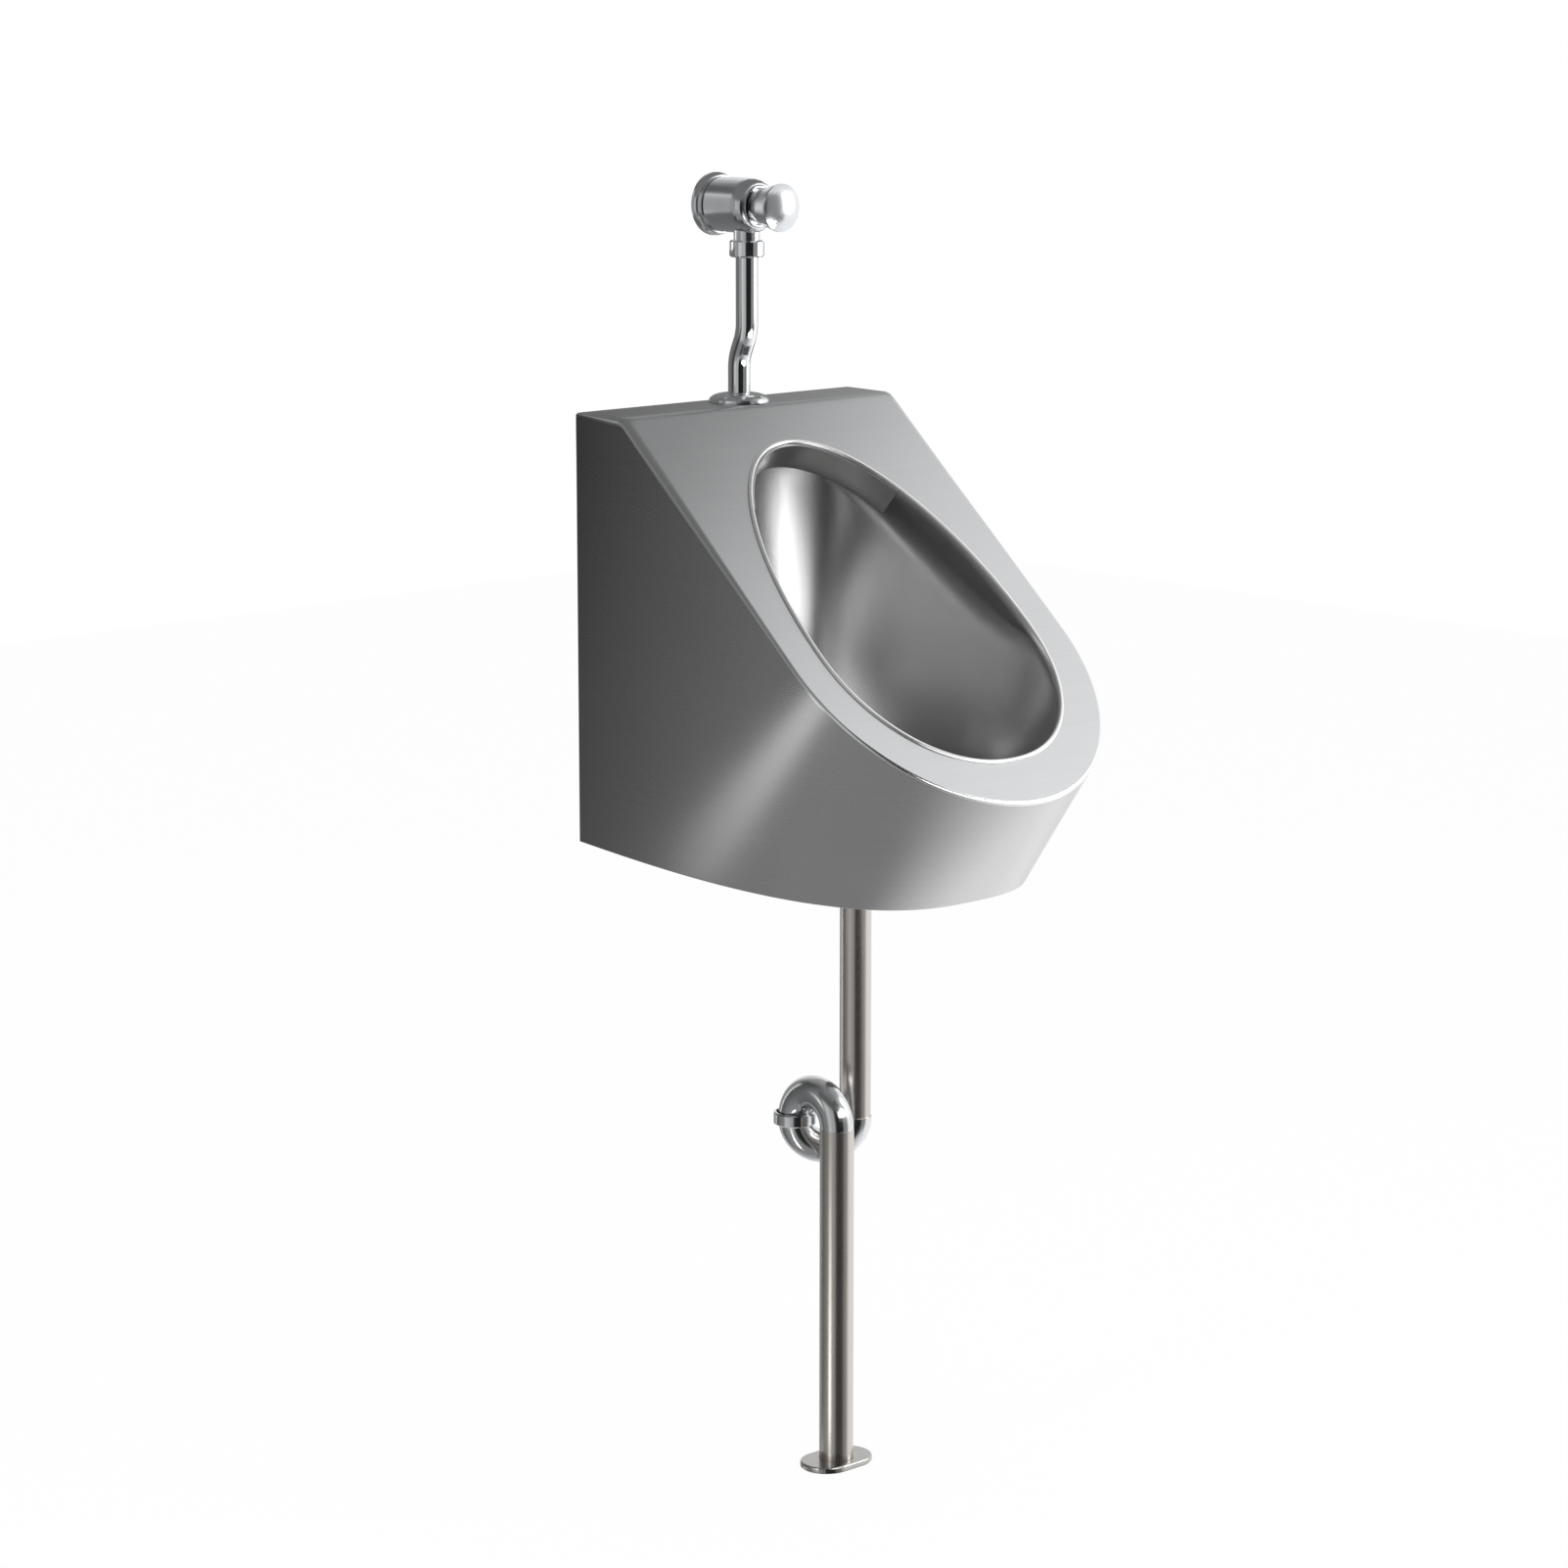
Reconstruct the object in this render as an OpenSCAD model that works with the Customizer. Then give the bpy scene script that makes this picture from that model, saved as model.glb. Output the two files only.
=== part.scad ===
// Wall-hung stainless steel urinal with a push-button flush valve above it and a two-bend trap below it.
// X runs to the right as the user sees it, Y runs into the wall and Z runs up. The wall is the plane y = 0.
// The origin is the middle of the wall bracket's back face, which is what the urinal hangs on.

/* [Urinal body] */
// Width of the body
body_w = 350; // [330:1:400]
// Height of the body along the wall
body_h = 408; // [395:1:440]
// Depth of the flat ledge on top
ledge_d = 64; // [62:1:72]
// How far the front lip stands out from the wall
lip_reach = 436; // [425:1:460]
// Height of the front lip above the bottom edge
lip_h = 78; // [70:1:95]
// How far the base stands out from the wall
base_reach = 353; // [340:1:370]
// How much lower the base is at its front than at the wall
base_drop = 28; // [10:1:36]
// Squareness of the base outline, where 2 is an ellipse
base_square = 2.76; // [2.2:0.02:3.4]
// Length of the straight part of the sloping edge
straight_run = 311; // [290:1:330]
// Thickness of the stainless sheet
sheet_t = 1.5; // [1:0.1:2]
// Radius of the soft bends along the top edges
bend_r = 8; // [5:0.5:12]
// Radius of the polished edge around the lip
lip_r = 3; // [2.5:0.1:5]
// Depth of the face plate's turned-down edge below its bend
skirt_h = 1; // [0.5:0.5:6]
// Depth of the wall bracket's middle below the ledge
hang_drop = 98; // [80:1:110]
// Height of the bottom edge above the finished floor
floor_gap = 592; // [560:1:640]

/* [Opening and bowl] */
// Width of the oval opening
open_w = 267; // [250:1:280]
// Distance from the ledge's fold down the slope to the top of the opening
open_top = 51; // [45:1:60]
// Distance down the slope to the widest part of the opening
open_mid = 298; // [285:1:310]
// Distance down the slope to the bottom of the opening
open_low = 446; // [435:1:452]
// Fullness of the opening's lower half, where 1 is an ellipse and less is squarer
open_full = 0.94; // [0.85:0.01:1]
// Width of the rolled rim around the opening
rim_w = 4.5; // [3.5:0.1:6]
// Height of the rolled rim above the face
rim_h = 2.2; // [1.5:0.1:3]
// Inside width of the bowl at its widest
bowl_w = 304; // [290:1:316]
// Distance from the wall to the bowl's back wall
bowl_back = 24; // [23:0.5:28]
// Inside width of the bowl's floor
bowl_floor_w = 268; // [240:1:280]
// Height of the bowl's floor above the body's bottom edge at the wall
bowl_floor_h = 40; // [38:1:50]
// Distance of the drain from the wall
drain_y = 196; // [185:1:205]
// Depth of the splash collar behind the upper arc of the opening
collar_d = 31; // [20:1:36]
// Width of the splash collar across the opening
collar_w = 188; // [140:1:200]

/* [Wall bracket and panels] */
// Width of the wall bracket
bracket_w = 220; // [200:1:250]
// Height of the wall bracket
bracket_h = 50; // [40:1:60]
// Thickness of the wall bracket
bracket_t = 3; // [2:0.5:4]
// Distance between the bracket's two bolt holes
bracket_pitch = 160; // [120:1:180]
// Diameter of the bracket's bolt holes
bracket_bore = 9; // [7:0.5:11]
// Height of the bracket's hook
hook_h = 14; // [10:1:16]
// Depth of the back panel's recess for the bracket
recess_d = 12; // [10:0.5:14]
// Diameter of the cover's screws
screw_d = 4; // [3:0.5:5]

/* [Flush valve] */
// Height of the valve's axis above the ledge
valve_h = 186; // [170:1:220]
// Outside diameter of the valve barrel
barrel_d = 52; // [48:0.5:56]
// Distance from the wall to the barrel's front
barrel_l = 63; // [60:0.5:70]
// Inside diameter of the valve's chamber
chamber_d = 33; // [31:0.5:34]
// Diameter of the barrel's mouth around the button
mouth_d = 36; // [35:0.5:38]
// Outside diameter of the wall rosette
rosette_d = 60; // [58:0.5:70]
// Depth of the wall rosette
rosette_l = 11; // [8:0.5:13]
// Diameter of the button's face
button_d = 45; // [40:0.5:50]
// Diameter of the button where it enters the barrel
button_neck_d = 30.4; // [28:0.2:31]
// Distance from the wall to the button's face
button_l = 98; // [92:0.5:104]
// Travel of the button
button_travel = 6; // [4:0.5:6]
// Wall of the button
button_t = 1.8; // [1.4:0.1:2.4]
// Diameter of the push rod
rod_d = 8; // [6:0.5:9]
// Distance of the outlet from the wall
outlet_y = 45; // [43:0.5:46]
// Diameter of the outlet neck
neck_d = 25; // [24.5:0.1:26]
// Diameter of the inlet's wall thread
inlet_d = 20.9; // [18:0.1:20.9]
// Length of the inlet thread inside the wall
inlet_l = 22; // [15:1:30]
// Diameter of the spring wire
wire_d = 1.6; // [1:0.1:2]
// Number of turns of the return spring
spring_turns = 7; // [5:1:10]

/* [Flush pipe] */
// Outside diameter of the flush pipe
flush_d = 21; // [18:0.5:22]
// Wall of the flush pipe
flush_t = 1.2; // [0.8:0.1:1.6]
// Distance of the flush pipe's lower end from the wall
flush_y = 34; // [33:0.5:35]
// Centreline radius of the two bends in the flush pipe
flush_bend_r = 45; // [35:1:55]
// Angle of the two bends in the flush pipe
flush_angle = 24; // [20:1:30]
// Straight length of flush pipe between the ledge and the lower bend
flush_foot = 32; // [25:1:45]
// Outside diameter of the ring nut under the valve
nut_d = 33; // [31:0.5:36]
// Height of the ring nut under the valve
nut_h = 16; // [14:0.5:20]
// Diameter of the domed flange on the ledge
dome_d = 58; // [54:0.5:60]
// Height of the domed flange
dome_h = 9; // [7:0.5:12]

/* [Waste and trap] */
// Outside diameter of the upper waste pipe
waste_d = 30; // [28:0.5:30]
// Outside diameter of the trap's bends
bend_d = 32; // [31.5:0.5:34]
// Outside diameter of the lower waste pipe
tail_d = 32.5; // [32.5:0.5:35]
// Wall of the pipes and bends
pipe_t = 1.3; // [1:0.1:1.5]
// Distance between the legs of each bend
leg_pitch = 58; // [56:1:70]
// Depth of the trap's joints below the body's bottom edge
trap_depth = 262; // [230:1:300]
// Direction from the waste pipe to the trap's middle leg, from +X
trap_turn = 145; // [120:1:160]
// Direction from the middle leg to the lower pipe, from +X
trap_back = 270; // [240:1:280]
// Outside diameter of the trap's union nut
union_d = 41; // [38:0.5:46]
// Height of the trap's union nut
union_h = 12; // [10:0.5:16]
// Length of the floor plate
foot_w = 76; // [66:1:90]
// Depth of the floor plate
foot_d = 50; // [46:1:60]
// Thickness of the floor plate
foot_t = 5; // [4:0.5:8]

/* [Hidden] */

steel = [0.63, 0.64, 0.65];
chrome = [0.83, 0.85, 0.87];
brass = [0.72, 0.6, 0.35];
rubber = [0.12, 0.12, 0.13];
plastic = [0.9, 0.9, 0.88];

// Gap between a piece and what it is seated on or held by
seat_gap = 0.3;
// Radial clearance of a turned piece in the bore that holds it
fit_gap = 0.05;
// Radial clearance of the moving pieces
run_gap = 0.2;
// Extra length of a cut past the face it goes through
cut = 1;

half_w = body_w / 2;
z_top = hang_drop;
z_base = z_top - body_h;
z_lip = z_base + lip_h;
z_floor = z_base - floor_gap;
z_drain = z_base + bowl_floor_h;
z_valve = z_top + valve_h;
z_trap = z_base - trap_depth;
z_union = z_trap + 1;

slope_run = lip_reach - ledge_d;
slope_fall = z_top - z_lip;
slope_len = norm([slope_run, slope_fall]);
slope_a = atan2(slope_fall, slope_run);
base_a = asin(base_drop / base_reach);
skirt_gap = 0.2;

// Numbers of steps along the half outline: back edge, ledge side, straight slope and round lip
n_back = 6;
n_ledge = 3;
n_side = 10;
n_lip = 14;
k_ledge = n_back;
k_slope = n_back + n_ledge;
k_lip = k_slope + n_side;
k_end = k_lip + n_lip;

function mix(a, b, f) = a + (b - a) * f;
function unit(v) = v / norm(v);
function smooth(f) = f * f * (3 - 2 * f);
function mirrored(half) =
    concat(half, [for (i = [len(half) - 2:-1:1]) [-half[i][0], half[i][1], half[i][2]]]);
function arc(c, r, a0, a1, n) = [for (i = [0:n]) c + r * [cos(mix(a0, a1, i / n)), sin(mix(a0, a1, i / n))]];
function power(f, p) = sign(f) * pow(abs(f), p);

// A point at x, s down the slope from the fold and d below the face
function slope_point(x, s, d = 0) =
    [x, -ledge_d - s * cos(slope_a) + d * sin(slope_a), z_top - s * sin(slope_a) - d * cos(slope_a)];

// A point of the base outline at the angle th, inset by i and raised by up
function base_point(th, i = 0, up = 0) =
    let (x = (half_w - i) * pow(cos(th), 2 / base_square),
         v = (base_reach - i) * pow(sin(th), 2 / base_square))
    [x, -v * cos(base_a) - up * sin(base_a), z_base - v * sin(base_a) + up * cos(base_a)];

// The sharp outer edge of the face at step k of the half outline, inset by i
function edge_point(k, i = 0) =
    k <= k_ledge ? [(half_w - i) * k / n_back, -i, z_top]
    : k <= k_slope ? [half_w - i, -mix(i, ledge_d, (k - k_ledge) / n_ledge), z_top]
    : k <= k_lip ? slope_point(half_w - i, straight_run * (k - k_slope) / n_side)
    : let (th = 90 * (k - k_lip) / n_lip)
      slope_point((half_w - i) * cos(th), straight_run + (slope_len - straight_run - i) * sin(th));

// Where the side wall's ruling from step k meets the back edge or the base
function foot_end(k, i = 0) =
    k <= k_lip ? [half_w - i, 0, mix(z_top - 3 * bend_r, z_base, (k - k_ledge) / (k_lip - k_ledge))]
    : base_point(90 * (k - k_lip) / n_lip, i);

// The direction in which the side wall runs down from step k
function down_dir(k) =
    k <= k_slope ? [0, 0, -1]
    : k <= k_lip ? unit(mix([0, 0, -1], unit(foot_end(k_lip) - edge_point(k_lip)), (k - k_slope) / n_side))
    : unit(foot_end(k) - edge_point(k));

// A point on the inside of the wall, raised from its foot by up
function foot_point(k, i = 0, up = 0) =
    k < k_lip ? foot_end(k, i) - up * unit(foot_end(k) - edge_point(k))
    : base_point(90 * (k - k_lip) / n_lip, i, up);

// Radius of the face plate's edge at step k: soft along the ledge and the upper slope, tight round the lip
function edge_r(k) =
    k <= k_ledge ? lip_r
    : k <= k_slope ? mix(lip_r, bend_r, smooth((k - k_ledge) / n_ledge))
    : k <= k_lip ? mix(bend_r, lip_r, smooth((k - k_slope) / n_side))
    : lip_r;

// The oval opening in the slope at the angle phi from its top, and the direction out of it there
function oval_flat(phi) =
    cos(phi) > 0 ? [open_w / 2 * sin(phi), open_mid - (open_mid - open_top) * cos(phi)]
    : [open_w / 2 * power(sin(phi), open_full),
       open_mid - (open_low - open_mid) * power(cos(phi), open_full)];
function oval_out(phi) =
    let (p = oval_flat(phi) - [0, open_mid], c = cos(phi) > 0 ? open_mid - open_top : open_low - open_mid,
         n = 2 / (cos(phi) > 0 ? 1 : open_full) - 1)
    unit([power(p[0] / (open_w / 2), n) / (open_w / 2), power(p[1] / c, n) / c]);

// The opening's edge at the angle phi, grown by o and set d below the face
function oval_point(phi, o = 0, d = 0) =
    let (p = oval_flat(phi) + o * oval_out(phi)) slope_point(p[0], p[1], d);

// The angle of the opening's edge that lies towards step k of the outline
function oval_angle(k) =
    let (e = edge_point(k), s = k <= k_slope ? -ledge_d - e[1] : (-ledge_d - e[1]) / cos(slope_a),
         c = s < open_mid ? open_mid - open_top : open_low - open_mid)
    atan2(e[0] / (open_w / 2), (open_mid - s) / c);

// Triangles between closed loops of points that are joined point by point, split along the shorter diagonal
function wall_faces(loops, wrap) =
    let (m = len(loops), n = len(loops[0]))
    [for (r = [0:m - (wrap ? 1 : 2)]) for (i = [0:n - 1])
        let (j = (i + 1) % n, q = (r + 1) % m, a = r * n + i, b = r * n + j, c = q * n + j, d = q * n + i)
        each norm(loops[r][i] - loops[q][j]) < norm(loops[r][j] - loops[q][i])
            ? [[a, b, c], [a, c, d]] : [[a, b, d], [b, c, d]]];

// A closed skin through loops that come back to the first, as a sheet with a hole in it
module ring_skin(loops)
    polyhedron(points = [for (loop = loops) each loop], faces = wall_faces(loops, true));

// A solid through a row of cross-sections, closed by its first and last one
module strip_skin(sections) {
    n = len(sections[0]);
    m = len(sections);
    polyhedron(points = [for (section = sections) each section],
               faces = concat(wall_faces(sections, false),
                              [for (i = [1:n - 2]) [0, i + 1, i]],
                              [for (i = [1:n - 2]) (m - 1) * n * [1, 1, 1] + [0, i, i + 1]]));
}

// A ring turned from a rectangle
module ring(r_in, r_out, h) {
    difference() {
        cylinder(r = r_out, h = h);
        translate([0, 0, -cut]) cylinder(r = r_in, h = h + 2 * cut);
    }
}

// Children drawn along +Z stand out of the wall at the valve's height
module at_valve() translate([0, 0, z_valve]) rotate([90, 0, 0]) children();

$fn = 72;

// Face plate: the ledge and the slope in one sheet, with the oval opening and a turned-down edge

arc_steps = [0, 30, 60, 90];
rim_in = sheet_t * 0.4;
rim_out = rim_w - rim_in;
plate_grow = sheet_t - rim_in + 2 * seat_gap;

function plate_hole(d) = mirrored([for (k = [0:k_end]) oval_point(oval_angle(k), plate_grow, d)]);

// The loop that follows the fold between ledge and slope, and elsewhere runs across the slope
function plate_fold(d) = mirrored([for (k = [0:k_end])
    let (h = oval_point(oval_angle(k), plate_grow), e = edge_point(k, edge_r(k)),
         f = k < k_slope ? (-ledge_d - h[1]) / (e[1] - h[1]) : k == k_slope ? 0.97 : 0.5,
         p = mix(h, [e[0], e[1], k < k_slope ? h[2] + (z_top - h[2]) / f : e[2]], f))
    k < k_slope ? [p[0], -ledge_d, z_top - d] : p + d * [0, sin(slope_a), -cos(slope_a)]]);

function plate_edge(a, t) = mirrored([for (k = [0:k_end])
    let (r = edge_r(k)) edge_point(k, r - (r - t) * sin(a)) + down_dir(k) * (r - (r - t) * cos(a))]);

function plate_skirt(t) = mirrored([for (k = [0:k_end])
    edge_point(k, t) + down_dir(k) * (edge_r(k) + skirt_h)]);

module face_plate() {
    color(steel) difference() {
        ring_skin(concat([plate_hole(sheet_t), plate_fold(sheet_t)],
                         [for (a = arc_steps) plate_edge(a, sheet_t)],
                         [plate_skirt(sheet_t), plate_skirt(0)],
                         [for (i = [len(arc_steps) - 1:-1:0]) plate_edge(arc_steps[i], 0)],
                         [plate_fold(0), plate_hole(0)]));
        translate([0, -flush_y, z_top - 5 * sheet_t]) cylinder(r = spud_r + seat_gap, h = 10 * sheet_t);
    }
}

// Apron: the side walls and the curved front in one wrapped sheet, with a narrow flange round the base

cover_t = sheet_t;
flange_up = cover_t + 2 * seat_gap;
flange_w = 16;

// The flange starts at the wall and has its full width from the first step of the round front on
function apron_section(k) =
    let (d = edge_r(k) + skirt_h + skirt_gap, w = k <= k_lip ? sheet_t : flange_w)
    [edge_point(k) + down_dir(k) * d,
     foot_point(k),
     foot_point(k, sheet_t),
     foot_point(k, sheet_t, flange_up),
     foot_point(k, w, flange_up + (k <= k_lip ? sheet_t / 3 : 0)),
     foot_point(k, w, flange_up + sheet_t),
     foot_point(k, sheet_t, flange_up + 2 * sheet_t),
     (k <= k_lip ? edge_point(k) - [sheet_t, 0, 0] : edge_point(k, sheet_t)) + down_dir(k) * d];

function flipped(section) = [for (p = section) [-p[0], p[1], p[2]]];

module apron() {
    color(steel) difference() {
        strip_skin(concat([for (k = [k_ledge:k_end]) apron_section(k)],
                          [for (k = [k_end - 1:-1:k_ledge]) flipped(apron_section(k))]));
        cover_points() translate([0, 0, -cut]) cylinder(d = screw_d + 2 * seat_gap, h = 10 * sheet_t);
    }
}

// Bowl: from the rolled rim of the opening round to the flat seat of the drain

drain_flat = 37;
drain_bore = 21.5;
bowl_front = 385;
floor_front = 335;
bowl_mid = 270;
floor_mid = 235;
n_bowl = 48;
bowl_corner = 0.7;

// Plan outline of the bowl: half width a, and distances of its back b, widest place m and front f
function bowl_plan(phi, a, b, m, f) =
    [a * power(sin(phi), bowl_corner), -m + (cos(phi) > 0 ? m - b : f - m) * power(cos(phi), bowl_corner)];

function bowl_shoulder(phi) =
    let (p = bowl_plan(phi, bowl_w / 2, bowl_back, bowl_mid, bowl_front), e = oval_point(phi))
    [p[0], p[1], e[2] - mix(-3, 30, (1 - cos(phi)) / 2)];

function bowl_heel(phi) =
    let (p = bowl_plan(phi, bowl_floor_w / 2, bowl_back + 4, floor_mid, floor_front))
    [p[0], p[1], z_drain + 8];

function drain_ring(phi, r) = [r * sin(phi), -drain_y + r * cos(phi), z_drain];

// Rounds the corner q between p and s, starting g from it or half way along the shorter side
function rounded(p, q, s, g, n) =
    let (a = q + unit(p - q) * min(g, norm(p - q) * 0.48), b = q + unit(s - q) * min(g, norm(s - q) * 0.48))
    [for (i = [0:n]) let (f = i / n) a * (1 - f) * (1 - f) + q * 2 * f * (1 - f) + b * f * f];

// The inside of the bowl at the angle phi: under the rim, out to the shoulder, down and in to the drain
function bowl_line(phi) =
    let (p = oval_point(phi, -rim_in, 1), u = oval_point(phi, -rim_in, 7), q = bowl_shoulder(phi),
         s = bowl_heel(phi), e = drain_ring(phi, drain_flat))
    concat([p], rounded(p, u, q, 4, 2), rounded(u, q, s, 26, 3), rounded(q, s, e, 80, 4),
           [e, drain_ring(phi, drain_bore)]);

bowl_in = [for (i = [0:n_bowl - 1]) bowl_line(360 * i / n_bowl)];
n_line = len(bowl_in[0]);

// The outside of the bowl is one sheet thickness out along the normal of the inside
function bowl_normal(i, j) =
    let (along = bowl_in[i][min(j + 1, n_line - 1)] - bowl_in[i][j - 1],
         round = bowl_in[(i + 1) % n_bowl][j] - bowl_in[(i + n_bowl - 1) % n_bowl][j])
    unit(cross(round, along));

function bowl_outside(i) =
    concat([oval_point(360 * i / n_bowl, sheet_t - rim_in, 1)],
           [for (j = [1:n_line - 1]) bowl_in[i][j] + sheet_t * bowl_normal(i, j)]);

// The rolled rim lies on the face, from its outer edge over its crown to the opening's edge
function rim_line(phi) =
    let (w = (rim_out + rim_in) / 2, m = (rim_out - rim_in) / 2)
    concat([oval_point(phi, rim_out, -seat_gap)],
           [for (a = [25:26:155]) oval_point(phi, m + w * cos(a), -seat_gap - (rim_h - seat_gap) * sin(a))]);

function bowl_section(i) =
    let (phi = 360 * i / n_bowl, outside = bowl_outside(i))
    concat(rim_line(phi), bowl_in[i], [for (j = [n_line - 1:-1:0]) outside[j]],
           [oval_point(phi, sheet_t - rim_in, -seat_gap)]);

bowl_sections = [for (i = [0:n_bowl - 1]) bowl_section(i)];

module bowl() {
    color(steel) difference() {
        ring_skin([for (j = [0:len(bowl_sections[0]) - 1]) [for (i = [0:n_bowl - 1]) bowl_sections[i][j]]]);
        translate([0, -flush_y, z_top - spud_drop]) cylinder(r = nozzle_r + seat_gap, h = spud_drop);
    }
}

// Splash collar: a strip that hangs behind the upper arc of the opening and turns the flush along the wall

collar_a = asin(collar_w / open_w);
collar_in = rim_in + 3 * seat_gap;
collar_steps = 12;
collar_rise = 1;

module splash_collar() {
    color(steel) strip_skin([for (i = [-collar_steps:collar_steps]) let (phi = collar_a * i / collar_steps)
        [oval_point(phi, -collar_in, collar_d), oval_point(phi, -collar_in - sheet_t, collar_d),
         oval_point(phi, -collar_in - sheet_t, collar_rise), oval_point(phi, -collar_in, collar_rise)]]);
}

// Back panel: a tray whose rim meets the wall and whose slot hangs on the bracket's hook

panel_w = body_w - 2 * (sheet_t + seat_gap);
panel_low = z_base + flange_up + 3 * sheet_t;
panel_high = z_top - bend_r;
hook_y = recess_d + sheet_t + seat_gap;
shelf_z = bracket_h / 2;
hook_w = bracket_w - 40;
slot_room = 2;
slot_drop = 8;
access_d = 22;

module back_panel() {
    color(steel) difference() {
        translate([-panel_w / 2, -recess_d - sheet_t, panel_low])
            cube([panel_w, recess_d + sheet_t, panel_high - panel_low]);
        translate([-panel_w / 2 + sheet_t, -recess_d, panel_low + sheet_t])
            cube([panel_w - 2 * sheet_t, recess_d + cut, panel_high - panel_low - 2 * sheet_t]);
        translate([-hook_w / 2 - slot_room, -recess_d - sheet_t - cut, shelf_z - bracket_t - slot_drop])
            cube([hook_w + 2 * slot_room, sheet_t + 2 * cut, bracket_t + slot_drop + seat_gap]);
        for (side = [-1, 1])
            translate([side * bracket_pitch / 2, -recess_d + cut, 0]) rotate([90, 0, 0])
                cylinder(d = access_d, h = sheet_t + 2 * cut);
    }
}

// Wall bracket: a plate on the wall with a shelf and an upturned hook, and two holes for wall bolts

module wall_bracket() {
    color(steel) difference() {
        union() {
            translate([-bracket_w / 2, -bracket_t, -bracket_h / 2]) cube([bracket_w, bracket_t, bracket_h]);
            translate([-hook_w / 2, -hook_y - bracket_t, shelf_z - bracket_t])
                cube([hook_w, hook_y + bracket_t, bracket_t]);
            translate([-hook_w / 2, -hook_y - bracket_t, shelf_z - bracket_t])
                cube([hook_w, bracket_t, hook_h]);
        }
        for (side = [-1, 1])
            translate([side * bracket_pitch / 2, cut, 0]) rotate([90, 0, 0])
                cylinder(d = bracket_bore, h = bracket_t + 2 * cut);
    }
}

// Bottom cover: a plate inside the apron's lower edge, screwed to its flange, with a hole for the waste pipe

cover_in = sheet_t + 2 * seat_gap;
cover_screw_steps = [k_lip + 3, k_lip + 9];
cover_hole_gap = 3;
screw_inset = 10;
screw_head = 2;
screw_shank = 8;

module base_plane() translate([0, 0, z_base]) rotate([base_a, 0, 0]) children();

// Places its children under the middle of the apron's flange
module cover_points() {
    for (k = cover_screw_steps) for (side = [-1, 1])
        let (th = 90 * (k - k_lip) / n_lip)
        base_plane() translate([side * (half_w - screw_inset) * pow(cos(th), 2 / base_square),
                                -(base_reach - screw_inset) * pow(sin(th), 2 / base_square), 0]) children();
}

module cover_outline() {
    half = [for (i = [0:n_lip]) let (th = 90 * i / n_lip)
        [(half_w - cover_in) * pow(cos(th), 2 / base_square),
         min(-recess_d - 2 * sheet_t, -(base_reach - cover_in) * pow(sin(th), 2 / base_square))]];
    polygon(concat(half, [for (i = [n_lip - 1:-1:0]) [-half[i][0], half[i][1]]]));
}

module bottom_cover() {
    color(steel) difference() {
        base_plane() translate([0, 0, seat_gap / 2]) linear_extrude(cover_t) cover_outline();
        translate([0, -drain_y, z_base - 2 * base_drop])
            cylinder(r = waste_d / 2 + cover_hole_gap, h = 3 * base_drop);
        cover_points() translate([0, 0, -cut]) cylinder(d = screw_d + 2 * seat_gap, h = cover_t + 2 * cut);
    }
}

module cover_screws() {
    end = screw_head + screw_shank;
    color(steel) cover_points() translate([0, 0, -screw_head]) rotate_extrude()
        polygon([[0, 0], [screw_d * 0.7, 0], [screw_d, screw_head * 0.6], [screw_d, screw_head],
                 [screw_d / 2, screw_head], [screw_d / 2, end], [0, end]]);
}

// Drain: the strainer, the fitting through the bowl and the nuts and seals that hold it

seal_t = 2;
fit_flange_r = 35;
fit_flange_t = 2.5;
fit_r = 20.5;
fit_bore = waste_d / 2 + 1.5;
fit_l = 44;
z_flange = z_drain + seal_t;
z_fit_low = z_drain - fit_l;
bar_w = 7;
bar_t = 4;
strain_r = 31;
strain_t = 1.6;
strain_hole_r = 1.9;
strain_screw_r = 2.5;
strain_head_r = 5;
strain_head_t = 1.8;
locknut_h = 8;
drain_nut_r = 30;

// Number and distance from the middle of the strainer's holes, ring by ring
strain_rings = [[6, 8], [10, 13]];

module at_drain(z) translate([0, -drain_y, z]) children();

module strainer() {
    color(chrome) at_drain(z_flange + fit_flange_t) difference() {
        rotate_extrude() polygon([[0, 0], [strain_r, 0], [strain_r, strain_t * 0.6],
                                  [strain_r - 2 * strain_t, strain_t], [0, strain_t]]);
        translate([0, 0, -cut]) cylinder(r = strain_screw_r + fit_gap, h = strain_t + 2 * cut);
        for (turn = strain_rings) for (i = [0:turn[0] - 1])
            rotate(360 * i / turn[0]) translate([turn[1], 0, -cut])
                cylinder(r = strain_hole_r, h = strain_t + 2 * cut);
    }
}

module strainer_screw() {
    tip = -bar_t - strain_t - fit_flange_t + 1;
    color(chrome) at_drain(z_flange + fit_flange_t + strain_t) rotate_extrude()
        polygon([[0, tip], [strain_screw_r, tip], [strain_screw_r, 0], [strain_head_r, 0],
                 [strain_head_r, strain_head_t / 2], [strain_head_r * 0.7, strain_head_t],
                 [0, strain_head_t]]);
}

module waste_fitting() {
    color(brass) at_drain(0) difference() {
        union() {
            difference() {
                union() {
                    translate([0, 0, z_flange]) cylinder(r = fit_flange_r, h = fit_flange_t);
                    translate([0, 0, z_fit_low]) cylinder(r = fit_r, h = z_flange - z_fit_low + 1);
                }
                translate([0, 0, z_fit_low - cut])
                    cylinder(r = fit_bore, h = fit_l + seal_t + fit_flange_t + 2 * cut);
            }
            translate([-fit_bore - 1, -bar_w / 2, z_flange + fit_flange_t - bar_t])
                cube([2 * fit_bore + 2, bar_w, bar_t]);
        }
        translate([0, 0, z_flange - 2 * bar_t]) cylinder(r = strain_screw_r + fit_gap, h = 4 * bar_t);
    }
}

module drain_seal() {
    color(rubber) at_drain(z_drain) ring(drain_bore, fit_flange_r - 1.5, seal_t);
}

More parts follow.
